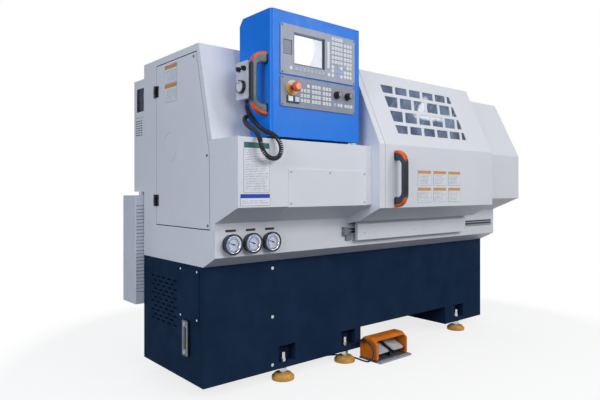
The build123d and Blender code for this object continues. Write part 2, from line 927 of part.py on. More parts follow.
def grooved_pulley(diameter):
    """Half section of a pulley rim with V grooves, radius upwards, width to the right."""
    pitch = pulley_width / (groove_count + 0.5)
    start = (pulley_width - pitch * groove_count) / 2
    points = [(0, 0), (0, diameter / 2)]
    for i in range(groove_count):
        edge = start + i * pitch
        points += [(edge, diameter / 2), (edge + pitch / 2, diameter / 2 - 5)]
    points += [(pulley_width - start, diameter / 2), (pulley_width, diameter / 2), (pulley_width, 0)]
    return filled(points)


def turning_plane(station, depth, height):
    """Plane for a half section turned about an axis along the machine."""
    return Plane(origin=(left + station, front + depth, height), x_dir=(1, 0, 0), z_dir=(0, -1, 0))


def lengthwise_axis(depth, height):
    """The axis along the machine at a depth and a height."""
    return Axis((left, front + depth, height), (1, 0, 0))


spindle_axis = lengthwise_axis(spindle_depth, spindle_height)
with BuildPart() as spindle:
    with BuildSketch(section(spindle_rear)):
        with Locations((spindle_depth, spindle_height)):
            Circle(spindle_diameter / 2)
    extrude(amount=spindle_nose - spindle_rear)
    with BuildSketch(section(spindle_nose - nose_flange)):
        with Locations((spindle_depth, spindle_height)):
            Circle(bulkhead_bore / 2 - 13)
    extrude(amount=nose_flange)
    with BuildSketch(turning_plane(pulley_left, spindle_depth, spindle_height)):
        add(grooved_pulley(spindle_pulley))
    revolve(axis=spindle_axis)
    with BuildSketch(section(spindle_rear)):
        with Locations((spindle_depth, spindle_height)):
            Circle(spindle_bore / 2)
    extrude(amount=spindle_nose - spindle_rear, mode=Mode.SUBTRACT)
spindle.part.label = "spindle"
export_step(spindle.part, "parts/spindle.step")

# Rotary cylinder that closes the chuck, on the spindle's rear end
cylinder_length = 66
cylinder_diameter = 140
with BuildPart() as clamping_cylinder:
    with BuildSketch(turning_plane(spindle_rear - cylinder_length, spindle_depth, spindle_height)):
        add(filled([
            (0, 0), (0, 34), (18, 34), (18, cylinder_diameter / 2 - 14), (26, cylinder_diameter / 2),
            (cylinder_length - 6, cylinder_diameter / 2), (cylinder_length, cylinder_diameter / 2 - 6),
            (cylinder_length, 0),
        ]))
    revolve(axis=spindle_axis)
clamping_cylinder.part.label = "clamping_cylinder"
export_step(clamping_cylinder.part, "parts/clamping_cylinder.step")

# Three-jaw chuck and its jaws
jaw_width = 36
jaw_seat = 30
jaw_slide = 0.15
jaw_inner = 36
jaw_outer = 92
chuck_face = spindle_nose + chuck_length


def jaw_plane(station, angle):
    """Upright plane across the spindle, turned so that its vertical points along a jaw."""
    radial = Vector(0, math.sin(math.radians(angle)), math.cos(math.radians(angle)))
    across = radial.cross(Vector(1, 0, 0))
    return Plane(
        origin=(left + station, front + spindle_depth, spindle_height),
        x_dir=tuple(across), z_dir=(1, 0, 0),
    )


with BuildPart() as chuck_body:
    with BuildSketch(section(spindle_nose)):
        with Locations((spindle_depth, spindle_height)):
            Circle(chuck_diameter / 2)
            Circle(spindle_bore / 2, mode=Mode.SUBTRACT)
    extrude(amount=chuck_length)
    chamfer(chuck_body.edges().filter_by(GeomType.CIRCLE).sort_by(SortBy.RADIUS)[-2:], 3)
    for angle in (0, 120, 240):
        with BuildSketch(jaw_plane(chuck_face, angle)):
            Rectangle(jaw_width, chuck_diameter, align=(Align.CENTER, Align.MIN))
        extrude(amount=-jaw_seat, mode=Mode.SUBTRACT)
chuck_body.part.label = "chuck_body"
export_step(chuck_body.part, "parts/chuck_body.step")

top_jaw = 42
for number, angle in enumerate((0, 120, 240), start=1):
    with BuildPart() as chuck_jaw:
        with BuildSketch(jaw_plane(chuck_face - jaw_seat + jaw_slide, angle)):
            with Locations((0, jaw_inner)):
                Rectangle(jaw_width - 2 * jaw_slide, jaw_outer - jaw_inner, align=(Align.CENTER, Align.MIN))
        extrude(amount=jaw_seat + 4)
        for reach, length in ((jaw_inner, top_jaw), (jaw_inner + 18, top_jaw * 0.62)):
            with BuildSketch(jaw_plane(chuck_face + jaw_slide, angle)):
                with Locations((0, reach)):
                    Rectangle(
                        jaw_width - 4, jaw_outer - 4 - reach if reach > jaw_inner else 20,
                        align=(Align.CENTER, Align.MIN),
                    )
            extrude(amount=length)
    chuck_jaw.part.label = f"chuck_jaw_{number}"
    export_step(chuck_jaw.part, f"parts/chuck_jaw_{number}.step")

# Spindle motor on the headstock, its pulley with shaft, and the belts
motor_left = pulley_left + pulley_width + 14
motor_length = 330
motor_axis = lengthwise_axis(motor_depth, motor_height)
motor_foot = motor_height - motor_size / 2 - bed_top - headstock_height
shaft_seat = 70
with BuildPart() as spindle_motor:
    with BuildSketch(section(motor_left)):
        with Locations((motor_depth, motor_height)):
            RectangleRounded(motor_size, motor_size, 14)
    extrude(amount=motor_length)
    with BuildSketch(section(motor_left + 40)):
        for side in (-1, 1):
            with Locations((motor_depth + side * motor_size / 2, motor_height)):
                with GridLocations(1, 22, 1, 6):
                    Rectangle(12, 8)
    extrude(amount=motor_length - 80, mode=Mode.SUBTRACT)
    with BuildSketch(level(bed_top + headstock_height)):
        with Locations((motor_left + motor_length / 2, motor_depth - 40)):
            Rectangle(motor_length - 90, 110)
    extrude(amount=motor_foot)
    with BuildSketch(section(motor_left)):
        with Locations((motor_depth, motor_height)):
            Circle(motor_shaft / 2 + running_clearance)
    extrude(amount=shaft_seat, mode=Mode.SUBTRACT)
spindle_motor.part.label = "spindle_motor"
export_step(spindle_motor.part, "parts/spindle_motor.step")

with BuildPart() as motor_pulley:
    with BuildSketch(turning_plane(pulley_left, motor_depth, motor_height)):
        add(grooved_pulley(motor_pulley_diameter))
    revolve(axis=motor_axis)
    with BuildSketch(section(pulley_left)):
        with Locations((motor_depth, motor_height)):
            Circle(motor_shaft / 2)
    extrude(amount=motor_left - pulley_left + shaft_seat - 1)
motor_pulley.part.label = "motor_pulley"
export_step(motor_pulley.part, "parts/motor_pulley.step")

belt_clearance = 0.3
belt_margin = 3


def belt_loop(extra):
    """The outline round both pulleys, a distance outside their rims."""
    with BuildSketch() as loop:
        with Locations((spindle_depth, spindle_height)):
            Circle(spindle_pulley / 2 + extra)
        with Locations((motor_depth, motor_height)):
            Circle(motor_pulley_diameter / 2 + extra)
        make_hull()
    return loop.sketch


with BuildPart() as drive_belt:
    with BuildSketch(section(pulley_left + belt_margin)):
        add(belt_loop(belt_clearance + belt_thickness))
        add(belt_loop(belt_clearance), mode=Mode.SUBTRACT)
    extrude(amount=pulley_width - 2 * belt_margin)
drive_belt.part.label = "drive_belt"
export_step(drive_belt.part, "parts/drive_belt.step")

# Saddle on the bed ways
saddle_width = bed_width + 56
saddle_lip = 58
saddle_floor = bed_top + slide_clearance
saddle_top = saddle_floor + carriage_height
with BuildPart() as carriage:
    with BuildSketch(section(carriage_left)):
        with Locations((spindle_depth, saddle_floor)):
            Rectangle(saddle_width, carriage_height, align=(Align.CENTER, Align.MIN))
        for side in (-1, 1):
            with Locations((spindle_depth + side * (saddle_width / 2 - 12), saddle_floor)):
                Rectangle(24, saddle_lip, align=(Align.CENTER, Align.MAX))
    extrude(amount=carriage_length)
    with BuildSketch(level(saddle_top)):
        with Locations((carriage_left + carriage_length / 2, spindle_depth)):
            Rectangle(90, saddle_width)
    extrude(amount=14)
carriage.part.label = "carriage"
export_step(carriage.part, "parts/carriage.step")

# Cross slide with the fixed seat of the tool turret
cross_middle = carriage_left + carriage_length / 2
cross_back = spindle_depth + 109
cross_floor = saddle_top + slide_clearance
turret_depth = cross_back - 242
turret_seat = 26
cross_top = cross_floor + cross_height
with BuildPart() as cross_slide:
    with BuildSketch(level(cross_floor)):
        with Locations((cross_middle, cross_back)):
            Rectangle(cross_length, cross_depth, align=(Align.CENTER, Align.MAX))
    extrude(amount=cross_height)
    with BuildSketch(level(cross_floor)):
        with Locations((cross_middle, cross_back)):
            Rectangle(90 + 2 * slide_clearance, cross_depth, align=(Align.CENTER, Align.MAX))
    extrude(amount=14 + slide_clearance, mode=Mode.SUBTRACT)
    with BuildSketch(level(cross_top)):
        with Locations((cross_middle, turret_depth)):
            Circle(56)
    extrude(amount=turret_seat)
cross_slide.part.label = "cross_slide"
export_step(cross_slide.part, "parts/cross_slide.step")

# Four-way tool turret
turret_floor = cross_top + turret_seat + slide_clearance
tool_slot = 24
with BuildPart() as tool_turret:
    with BuildSketch(level(turret_floor)):
        with Locations((cross_middle, turret_depth)):
            RectangleRounded(turret_size, turret_size, 8)
    extrude(amount=turret_height)
    with BuildSketch(level(turret_floor + 30)):
        with Locations((cross_middle, turret_depth)):
            Rectangle(turret_size, turret_size)
            Rectangle(turret_size - 2 * tool_slot, turret_size - 2 * tool_slot, mode=Mode.SUBTRACT)
    extrude(amount=tool_slot, mode=Mode.SUBTRACT)
    with BuildSketch(level(turret_floor + turret_height)):
        with Locations((cross_middle, turret_depth)):
            Circle(24)
            for side in (-1, 1):
                with Locations((0, side * (turret_size / 2 - 12)), (side * (turret_size / 2 - 12), 0)):
                    Circle(6)
    extrude(amount=10)
tool_turret.part.label = "tool_turret"
export_step(tool_turret.part, "parts/tool_turret.step")

# Tailstock body and its quill with a centre point
barrel_diameter = 124
quill_length = 250
with BuildPart() as tailstock:
    with BuildSketch(level(saddle_floor)):
        with Locations((tail_left, spindle_depth)):
            Rectangle(tail_length, tail_width, align=(Align.MIN, Align.CENTER))
    extrude(amount=42)
    with BuildSketch(section(tail_left + 20)):
        with BuildLine():
            Polyline(
                (spindle_depth - 90, saddle_floor), (spindle_depth + 90, saddle_floor),
                (spindle_depth + barrel_diameter / 2, spindle_height),
                (spindle_depth - barrel_diameter / 2, spindle_height), close=True,
            )
        make_face()
        with Locations((spindle_depth, spindle_height)):
            Circle(barrel_diameter / 2)
    extrude(amount=tail_length - 40)
    with BuildSketch(section(tail_left)):
        with Locations((spindle_depth, spindle_height)):
            Circle(barrel_diameter / 2 - 8)
    extrude(amount=tail_length)
    with BuildSketch(section(tail_left)):
        with Locations((spindle_depth, spindle_height)):
            Circle(quill_diameter / 2 + running_clearance)
    extrude(amount=tail_length - 16, mode=Mode.SUBTRACT)
tailstock.part.label = "tailstock"
export_step(tailstock.part, "parts/tailstock.step")

quill_nose = tail_left - quill_reach
quill_end = tail_left + tail_length - 24
with BuildPart() as tailstock_quill:
    with BuildSketch(turning_plane(quill_nose, spindle_depth, spindle_height)):
        add(filled([
            (-58, 0), (-22, 20), (-22, 28), (0, 28), (0, quill_diameter / 2),
            (quill_end - quill_nose, quill_diameter / 2), (quill_end - quill_nose, 0),
        ]))
    revolve(axis=spindle_axis)
tailstock_quill.part.label = "tailstock_quill"
export_step(tailstock_quill.part, "parts/tailstock_quill.step")

# Post that carries the operator's pendant
collar_height = case_low - box_top - 2
socket_depth = 44
with BuildPart() as pendant_post:
    with BuildSketch(level(box_top)):
        with Locations((post_station, post_depth)):
            Circle(post_collar / 2)
    extrude(amount=collar_height)
    with BuildSketch(level(box_top)):
        with Locations((post_station, post_depth)):
            Circle(post_diameter / 2)
    extrude(amount=case_low - box_top + socket_depth)
pendant_post.part.label = "pendant_post"
export_step(pendant_post.part, "parts/pendant_post.step")

# Pendant case: a folded box with openings for its two panels
case_points = [
    (-case_front, case_low), (-case_front, case_high), (-37, case_high), (-13, 1490),
    (-15, 1274), (-44, 1193), (-94, case_low),
]
panel_face = -case_front - panel_proud
panel_lap = 14
panel_clearance = 1
panels = ((unit_low, unit_height), (console_low, console_height))
with BuildPart() as case_space:
    with BuildSketch(section(case_left + sheet)):
        add(offset(filled(case_points), -sheet, kind=Kind.INTERSECTION, mode=Mode.PRIVATE))
    extrude(amount=case_width - 2 * sheet)
    fillet(case_space.edges().filter_by(Axis.Z).group_by(Axis.Y)[0], case_round - sheet)
with BuildPart() as pendant_case:
    with BuildSketch(section(case_left)):
        add(filled(case_points))
    extrude(amount=case_width)
    front_edges = pendant_case.edges().filter_by(Axis.Z).group_by(Axis.Y)[0]
    fillet(front_edges, case_round)
    add(case_space.part, mode=Mode.SUBTRACT)
    with BuildSketch(elevation(-case_front + sheet)):
        for low, height in panels:
            with Locations((panel_left + panel_lap, low + panel_lap)):
                Rectangle(
                    panel_width - 2 * panel_lap, height - 2 * panel_lap, align=(Align.MIN, Align.MIN)
                )
    extrude(amount=sheet, mode=Mode.SUBTRACT)
    with BuildSketch(level(case_low)):
        with Locations((post_station, post_depth)):
            Circle(post_collar / 2 - 6)
    extrude(amount=socket_depth + 6)
    with BuildSketch(level(case_low)):
        with Locations((post_station, post_depth)):
            Circle(post_diameter / 2 + running_clearance)
    extrude(amount=socket_depth + 1, mode=Mode.SUBTRACT)
pendant_case.part.label = "pendant_case"
export_step(pendant_case.part, "parts/pendant_case.step")

key_width = 13
key_pitch = 16.4


def panel_plate(low, height):
    """A panel's plate with the block behind it that fills the case's opening."""
    with BuildPart() as plate:
        with BuildSketch(elevation(-case_front)):
            with Locations((panel_left + panel_width / 2, low + height / 2)):
                RectangleRounded(panel_width, height, 4)
        extrude(amount=panel_proud)
        with BuildSketch(elevation(-case_front + panel_inside)):
            with Locations((panel_left + panel_width / 2, low + height / 2)):
                Rectangle(
                    panel_width - 2 * (panel_lap + panel_clearance), height - 2 * (panel_lap + panel_clearance)
                )
        extrude(amount=panel_inside)
    return plate.part


# Control unit with its screen recess and key field
screen_left = 267
screen_low = 1317
screen_width = 164
screen_height = 125
key_rows = [1453, 1434, 1415, 1396, 1377, 1358]
letter_columns = [476 + key_pitch * i for i in range(4)]
number_columns = [546.5 + key_pitch * i for i in range(3)]
unit_keys = [(x, z) for x in letter_columns for z in key_rows]
unit_keys += [(x, z) for x in number_columns for z in key_rows[1:]]
unit_keys += [(451.5, 1430 - 13.7 * i) for i in range(8)]
unit_keys += [(281 + 20.1 * i, 1301) for i in range(8)]
unit_keys += [(253.7, 1301), (453.7, 1301), (number_columns[1], 1342), (number_columns[2], 1342)]
unit_keys += [(x, z) for x in number_columns for z in (1321, 1304)]
unit_keys += [(letter_columns[0], z) for z in (1337, 1320, 1302)]
unit_keys += [(letter_columns[3], z) for z in (1337, 1302)]
unit_keys += [(511, 1337), (511, 1303), (493.5, 1320), (528.5, 1320), (511, 1320)]
unit_plate = panel_plate(unit_low, unit_height)
with BuildPart() as control_unit:
    add(unit_plate)
    with BuildSketch(elevation(panel_face)):
        with Locations((screen_left, screen_low)):
            Rectangle(screen_width, screen_height, align=(Align.MIN, Align.MIN))
    extrude(amount=-9, mode=Mode.SUBTRACT)
    with BuildSketch(elevation(panel_face)):
        with Locations((217, 1352)):
            Rectangle(42, 56, align=(Align.MIN, Align.MIN))
    extrude(amount=-3, mode=Mode.SUBTRACT)
    with BuildSketch(elevation(panel_face)):
        with Locations(unit_keys):
            Rectangle(key_width, key_width)
    extrude(amount=key_proud)
control_unit.part.label = "control_unit"
export_step(control_unit.part, "parts/control_unit.step")

# Operator panel with its keys, emergency stop collar and button block
console_rows = [1240, 1220, 1200, 1180]
console_keys = [(308 + 17 * i, z) for i in range(3) for z in console_rows[1:]] + [(342, 1240)]
console_keys += [(x + 16.6 * i, z) for x in (367.8, 426) for i in range(3) for z in console_rows]
console_keys += [(x + 17 * i, 1181) for x in (491, 550) for i in range(3)]
stop_spot = (stop_station, stop_level)
knob_shaft = 8
console_plate = panel_plate(console_low, console_height)
with BuildPart() as operator_panel:
    add(console_plate)
    with BuildSketch(elevation(panel_face)):
        with Locations(console_keys):
            Rectangle(key_width, key_width)
    extrude(amount=key_proud)
    with BuildSketch(elevation(panel_face)):
        with Locations(stop_spot):
            Circle(stop_ring / 2)
        with Locations((sum(button_stations) / 2, button_level)):
            Rectangle(62, 28)
    extrude(amount=4)
    with BuildSketch(elevation(panel_face - 4)):
        with Locations(stop_spot):
            Circle(stop_stem / 2 + running_clearance)
        with Locations(*[(x, button_level) for x in button_stations]):
            Rectangle(button_size + 2 * button_clearance, button_size + 2 * button_clearance)
        with Locations(*[(x, knob_level) for x in knob_stations]):
            Circle(knob_shaft / 2 + running_clearance)
    extrude(amount=-panel_inside - button_travel - 2, mode=Mode.SUBTRACT)
operator_panel.part.label = "operator_panel"
export_step(operator_panel.part, "parts/operator_panel.step")

# Emergency stop: a stem that is pushed in and a mushroom head that twists to release it
stem_end = panel_face - 20
pin_end = stem_end - 10
pin_diameter = 10
head_length = 20
stop_axis = Axis((left + stop_station, front + stem_end, stop_level), (0, -1, 0))
with BuildPart() as estop_stem:
    with BuildSketch(elevation(-case_front + 4)):
        with Locations(stop_spot):
            Circle(stop_stem / 2)
    extrude(amount=-case_front + 4 - stem_end)
    with BuildSketch(elevation(stem_end)):
        with Locations(stop_spot):
            Circle(pin_diameter / 2)
    extrude(amount=stem_end - pin_end)
estop_stem.part.label = "estop_stem"
export_step(estop_stem.part, "parts/estop_stem.step")

head_plane = Plane(
    origin=(left + stop_station, front + stem_end - slide_clearance, stop_level),
    x_dir=(1, 0, 0), z_dir=(0, 0, 1),
)
with BuildPart() as estop_head:
    with BuildSketch(head_plane):
        radius = stop_head / 2
        bore = pin_diameter / 2 + running_clearance
        add(filled([
            (0, -12), (bore, -12), (bore, 0), (radius - 4, 0), (radius, -4), (radius, -head_length + 7),
            (radius - 7, -head_length), (0, -head_length),
        ]))
    revolve(axis=stop_axis)
estop_head.part.label = "estop_head"
export_step(estop_head.part, "parts/estop_head.step")

# Start and hold push-buttons
button_rise = 10
for name, station in zip(("start_button", "hold_button"), button_stations):
    with BuildPart() as push_button:
        with BuildSketch(elevation(-case_front + 12)):
            with Locations((station, button_level)):
                Rectangle(button_size, button_size)
        extrude(amount=button_rise + panel_proud + 12)
        chamfer(push_button.faces().sort_by(Axis.Y)[0].edges(), 1.5)
    push_button.part.label = name
    export_step(push_button.part, f"parts/{name}.step")

# Feed and speed override knobs
skirt_rise = 6
for name, station in zip(("feed_knob", "speed_knob"), knob_stations):
    with BuildPart() as knob:
        with BuildSketch(elevation(panel_face - slide_clearance)):
            with Locations((station, knob_level)):
                Circle(knob_diameter / 2)
        extrude(amount=skirt_rise)
        with BuildSketch(elevation(panel_face - skirt_rise)):
            with Locations((station, knob_level)):
                Circle(knob_diameter / 2 - 4)
                with PolarLocations(knob_diameter / 2 - 3, 12):
                    Circle(1.6, mode=Mode.SUBTRACT)
        extrude(amount=knob_height - skirt_rise)
        with BuildSketch(elevation(-case_front + 8)):
            with Locations((station, knob_level)):
                Circle(knob_shaft / 2)
        extrude(amount=panel_proud + 8 + slide_clearance)
    knob.part.label = name
    export_step(knob.part, f"parts/{name}.step")

# Moulded bow handle on the pendant's left side
pendant_handle_plane = Plane(
    origin=(left + case_left, front + handle_depth - handle_width / 2, pendant_handle_low),
    x_dir=(-1, 0, 0), z_dir=(0, 1, 0),
)
with BuildPart() as pendant_handle:
    with BuildSketch(pendant_handle_plane):
        add(bow_outline(pendant_handle_height, handle_reach + 12, handle_leg, handle_grip))
    extrude(amount=handle_width)
    outer_edges = pendant_handle.edges().filter_by(
        lambda e: e.center().X < left + case_left - 1
    ).filter_by(Axis.Y, reverse=True)
    fillet(outer_edges, handle_round)
pendant_handle.part.label = "pendant_handle"
export_step(pendant_handle.part, "parts/pendant_handle.step")

# Hand pulse generator beside the pendant: case, dial and two selectors
wheel_face = case_left - wheel_case_depth
with BuildPart() as handwheel_case:
    with BuildSketch(section(wheel_face)):
        with Locations((wheel_depth, wheel_case_low + wheel_case_height / 2)):
            RectangleRounded(wheel_case_width, wheel_case_height, 8)
    extrude(amount=wheel_case_depth)
    with BuildSketch(section(wheel_face)):
        with Locations((wheel_depth, wheel_level)):
            Circle(knob_shaft / 2 + running_clearance)
        for side in (-1, 1):
            with Locations((wheel_depth + side * selector_pitch / 2, selector_level)):
                Circle(knob_shaft / 2 + running_clearance)
    extrude(amount=14, mode=Mode.SUBTRACT)
handwheel_case.part.label = "handwheel_case"
export_step(handwheel_case.part, "parts/handwheel_case.step")

dial_rise = 14
with BuildPart() as handwheel_dial:
    with BuildSketch(section(wheel_face - slide_clearance - dial_rise)):
        with Locations((wheel_depth, wheel_level)):
            Circle(wheel_diameter / 2)
            with Locations((0, wheel_diameter / 2 - 9)):
                Circle(5, mode=Mode.SUBTRACT)
    extrude(amount=dial_rise)
    with BuildSketch(section(wheel_face - slide_clearance)):
        with Locations((wheel_depth, wheel_level)):
            Circle(knob_shaft / 2)
    extrude(amount=12)
    with BuildSketch(section(wheel_face - slide_clearance - dial_rise - 12)):
        with Locations((wheel_depth, wheel_level + wheel_diameter / 2 - 9)):
            Circle(5)
    extrude(amount=dial_rise + 10)
handwheel_dial.part.label = "handwheel_dial"
export_step(handwheel_dial.part, "parts/handwheel_dial.step")

selector_rise = 15
for name, side in (("axis_selector", -1), ("step_selector", 1)):
    with BuildPart() as selector:
        spot = (wheel_depth + side * selector_pitch / 2, selector_level)
        with BuildSketch(section(wheel_face - slide_clearance - 5)):
            with Locations(spot):
                Circle(selector_diameter / 2)
        extrude(amount=5)
        with BuildSketch(section(wheel_face - slide_clearance - selector_rise)):
            with Locations(spot):
                SlotOverall(selector_diameter - 2, 8, rotation=90)
        extrude(amount=selector_rise)
        with BuildSketch(section(wheel_face - slide_clearance)):
            with Locations(spot):
                Circle(knob_shaft / 2)
        extrude(amount=12)
    selector.part.label = name
    export_step(selector.part, f"parts/{name}.step")


def cord_tube(points, diameter, name):
    """A tube of straight runs and tangent arcs, each arc as large as its two runs allow."""
    spots = [Vector(left + x, front + y, z) for x, y, z in points]
    radii = []
    for before, here, after in zip(spots, spots[1:], spots[2:]):
        turn = math.radians((here - before).get_angle(after - here))
        shorter = min((here - before).length, (after - here).length)
        radii.append(0.45 * shorter / math.tan(turn / 2))
    print(name, "radii", [round(r) for r in radii])
    with BuildLine() as path:
        FilletPolyline(*spots, radius=radii)
    with BuildPart() as tube:
        with BuildSketch(path.line ^ 0):
            Circle(diameter / 2)
        sweep(path=path.line)
    length = sum(edge.length for edge in path.edges())
    share = tube.part.volume / (math.pi * diameter ** 2 / 4 * length)
    print(name, "length", round(length), "volume over section times length", round(share, 4))
    return tube.part


# Curly cord from the hand pulse generator to the pendant case
coil_diameter = 19
coil_route = [
    (141, wheel_depth, wheel_case_low), (141, wheel_depth, 1152), (137, -124, 1112), (138, -168, 1076),
    (143, -210, 1050), (156, -256, 1034), (166, -277, 1000), (166, -280, 966), (148, -280, 944),
    (124, -280, 950), (112, -279, 984), (110, -270, 1024), (112, -236, 1058), (116, -192, 1082),
    (121, -146, 1106), (124, -104, 1130), (136, -78, 1150), (case_left, -78, 1150),
]
coil = cord_tube(coil_route, coil_diameter, "curly_cord")
with BuildPart() as curly_cord:
    add(coil)
curly_cord.part.label = "curly_cord"
export_step(curly_cord.part, "parts/curly_cord.step")

# Foot switch: ribbed base plate, guard open to the front, two pedals
guard_right = guard_left + guard_width
guard_back = guard_front + guard_depth
pin_depth = guard_back - 34
pin_level = 58
rib_pitch = 12
plate_front = guard_front - 24
with BuildPart() as pedal_base:
    with BuildSketch(level(0)):
        with Locations((guard_left, plate_front)):
            Rectangle(guard_width, guard_back - plate_front, align=(Align.MIN, Align.MIN))
    extrude(amount=plate_height)
    with BuildSketch(level(plate_height)):
        with Locations(((guard_left + guard_right) / 2, plate_front + 10)):
            with GridLocations(rib_pitch, 1, int(guard_width // rib_pitch) - 1, 1):
                Rectangle(5, 14)
    extrude(amount=3)
pedal_base.part.label = "pedal_base"
export_step(pedal_base.part, "parts/pedal_base.step")

guard_middle = (guard_left + guard_right) / 2
gland_level = 94
gland_depth = guard_back - 37
gland_length = 14
gland_diameter = 15
with BuildPart() as pedal_guard:
    with BuildSketch(section(guard_left)):
        add(filled([
            (guard_front, plate_height), (guard_back, plate_height), (guard_back, guard_height - 22),
            (guard_back - 30, guard_height), (guard_front + 34, guard_height), (guard_front, guard_height - 26),
        ]))
    extrude(amount=guard_width)
    fillet(pedal_guard.edges().filter_by(Axis.X).group_by(Axis.Z)[-1], 8)
    for start in (guard_left + guard_wall, guard_middle + guard_wall / 2):
        with BuildSketch(section(start)):
            add(filled([
                (guard_front - 1, plate_height), (guard_back - guard_wall, plate_height),
                (guard_back - guard_wall, guard_height - 26), (guard_back - 32, guard_height - guard_wall),
                (guard_front + 36, guard_height - guard_wall), (guard_front - 1, guard_height - 36),
            ]))
        extrude(amount=guard_width / 2 - 1.5 * guard_wall, mode=Mode.SUBTRACT)
    with BuildSketch(section(guard_left)):
        with Locations((pin_depth, pin_level)):
            Circle(pedal_pin / 2 + running_clearance)
    extrude(amount=guard_width, mode=Mode.SUBTRACT)
    with BuildSketch(section(guard_left - gland_length)):
        with Locations((gland_depth, gland_level)):
            Circle(gland_diameter / 2)
    extrude(amount=gland_length)
pedal_guard.part.label = "pedal_guard"
export_step(pedal_guard.part, "parts/pedal_guard.step")

pedal_middles = [
    (guard_left + guard_wall + guard_middle - guard_wall / 2) / 2,
    (guard_middle + guard_wall / 2 + guard_right - guard_wall) / 2,
]
bay_width = guard_width / 2 - 1.5 * guard_wall
pedal_front = guard_front + 6
for side, middle in zip(("left", "right"), pedal_middles):
    with BuildPart() as pedal:
        with BuildSketch(section(middle - pedal_width / 2)):
            add(filled([
                (pedal_front, 40), (pedal_front, 47), (pin_depth - 10, pin_level + 9),
                (pin_depth + 9, pin_level + 9), (pin_depth + 9, pin_level - 7), (pin_depth - 12, pin_level - 7),
            ]))
        extrude(amount=pedal_width)
        with BuildSketch(section(middle - bay_width / 2 - guard_wall / 2 + 1)):
            with Locations((pin_depth, pin_level)):
                Circle(pedal_pin / 2)
        extrude(amount=bay_width + guard_wall - 2)
    pedal.part.label = f"{side}_pedal"
    export_step(pedal.part, f"parts/{side}_pedal.step")

# Pedal cable on the floor, from the guard's gland to the pedestal's gland
cable_diameter = 8
cable_radius = cable_diameter / 2
cable_route = [
    (guard_left - gland_length, gland_depth, gland_level), (839, gland_depth, gland_level),
    (839, -72, 108), (842, -102, 94), (846, -122, 62), (845, -118, 30), (843, -96, 8),
    (843, -60, cable_radius), (848, -14, cable_radius), (846, 44, cable_radius), (812, 100, cable_radius),
    (750, 128, cable_radius), (690, 150, cable_radius), (655, 204, cable_radius), (670, 268, cable_radius),
    (724, 316, cable_radius), (796, 346, cable_radius), (868, 362, cable_radius), (935, 372, cable_radius),
    (992, 380, 18), (1010, 390, 62), (955, cable_gland_depth, cable_gland_level),
    (pedestal_length + cable_gland, cable_gland_depth, cable_gland_level),
]
cable = cord_tube(cable_route, cable_diameter, "pedal_cable")
with BuildPart() as pedal_cable:
    add(cable)
pedal_cable.part.label = "pedal_cable"
export_step(pedal_cable.part, "parts/pedal_cable.step")
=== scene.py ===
import functools
import math

import bmesh
import bpy
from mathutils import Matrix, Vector


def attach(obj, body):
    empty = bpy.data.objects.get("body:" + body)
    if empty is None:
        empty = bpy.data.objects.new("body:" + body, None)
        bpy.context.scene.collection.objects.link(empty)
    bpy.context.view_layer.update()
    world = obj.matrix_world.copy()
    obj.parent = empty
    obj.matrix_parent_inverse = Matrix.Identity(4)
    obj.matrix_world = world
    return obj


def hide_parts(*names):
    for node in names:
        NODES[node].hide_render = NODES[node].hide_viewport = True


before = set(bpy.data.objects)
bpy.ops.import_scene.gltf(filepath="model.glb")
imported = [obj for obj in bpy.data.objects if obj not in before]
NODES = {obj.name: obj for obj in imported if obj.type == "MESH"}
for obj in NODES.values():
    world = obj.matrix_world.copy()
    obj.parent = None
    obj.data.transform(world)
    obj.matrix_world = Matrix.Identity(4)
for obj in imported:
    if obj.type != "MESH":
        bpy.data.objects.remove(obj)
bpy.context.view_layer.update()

# The photograph was measured from the base's front left corner: station along the machine,
# depth behind the base's front, height above the floor, in millimetres.
LEFT, FRONT = -961.0, -172.0
# depths of the faces that small parts stand on
PANEL, HOUSING, DOOR, GAUGE_BOARD = -230, -243, -289, -88
# centres on the front, as station and height, and the handwheel's as depth and height
ESTOP, GAUGE_HEIGHT, KNOB_HEIGHT = (260, 1225), 618.5, 1222
GAUGES, KNOBS = (69, 163, 257), (498, 560.5)
WHEEL = (-90, 1231)
# printed sheets, from lower corner to upper corner
DATA_SHEET, OIL_SHEET = (25, 819, 140, 1001), (10, 770, 143, 813)
DRIVE_SHEET, DOOR_SHEET = (218, 1206, 331, 1284), (963, 770, 1064, 838)
DRIVE_STEP, DOOR_STEP = 82, (120, 80)

# the photograph's camera
EYE = (-2.0239, -2.0220, 0.8277)
FORWARD = Vector((0.6436, 0.7654, 0.0)).normalized()
LENS = 32.34
SHIFT = -10 / 600


def at(station, depth, height):
    """A point of the row frame, in metres."""
    return Vector(((station + LEFT) / 1000, (depth + FRONT) / 1000, height / 1000))


def linked(name, data):
    """A new object in the scene."""
    obj = bpy.data.objects.new(name, data)
    bpy.context.scene.collection.objects.link(obj)
    return obj


def aim(direction):
    return direction.to_track_quat("-Z", "Y").to_euler()


# ---------------------------------------------------------------- camera
camera = linked("camera", bpy.data.cameras.new("camera"))
camera.location = EYE
camera.rotation_euler = aim(FORWARD)
camera.data.sensor_width = 36
camera.data.lens = LENS
camera.data.shift_y = SHIFT
camera.data.clip_end = 60
bpy.context.scene.camera = camera


# ---------------------------------------------------------------- materials
def put(tree, socket, value):
    """Link a socket to an output, or set it to a value."""
    if hasattr(value, "is_linked"):
        tree.links.new(value, socket)
    else:
        socket.default_value = value


def step(tree, kind, *values, **settings):
    """A new node with its settings made and its first inputs linked or set."""
    node = tree.nodes.new(kind)
    for name, value in settings.items():
        setattr(node, name, value)
    for socket, value in zip(node.inputs, values):
        put(tree, socket, value)
    return node


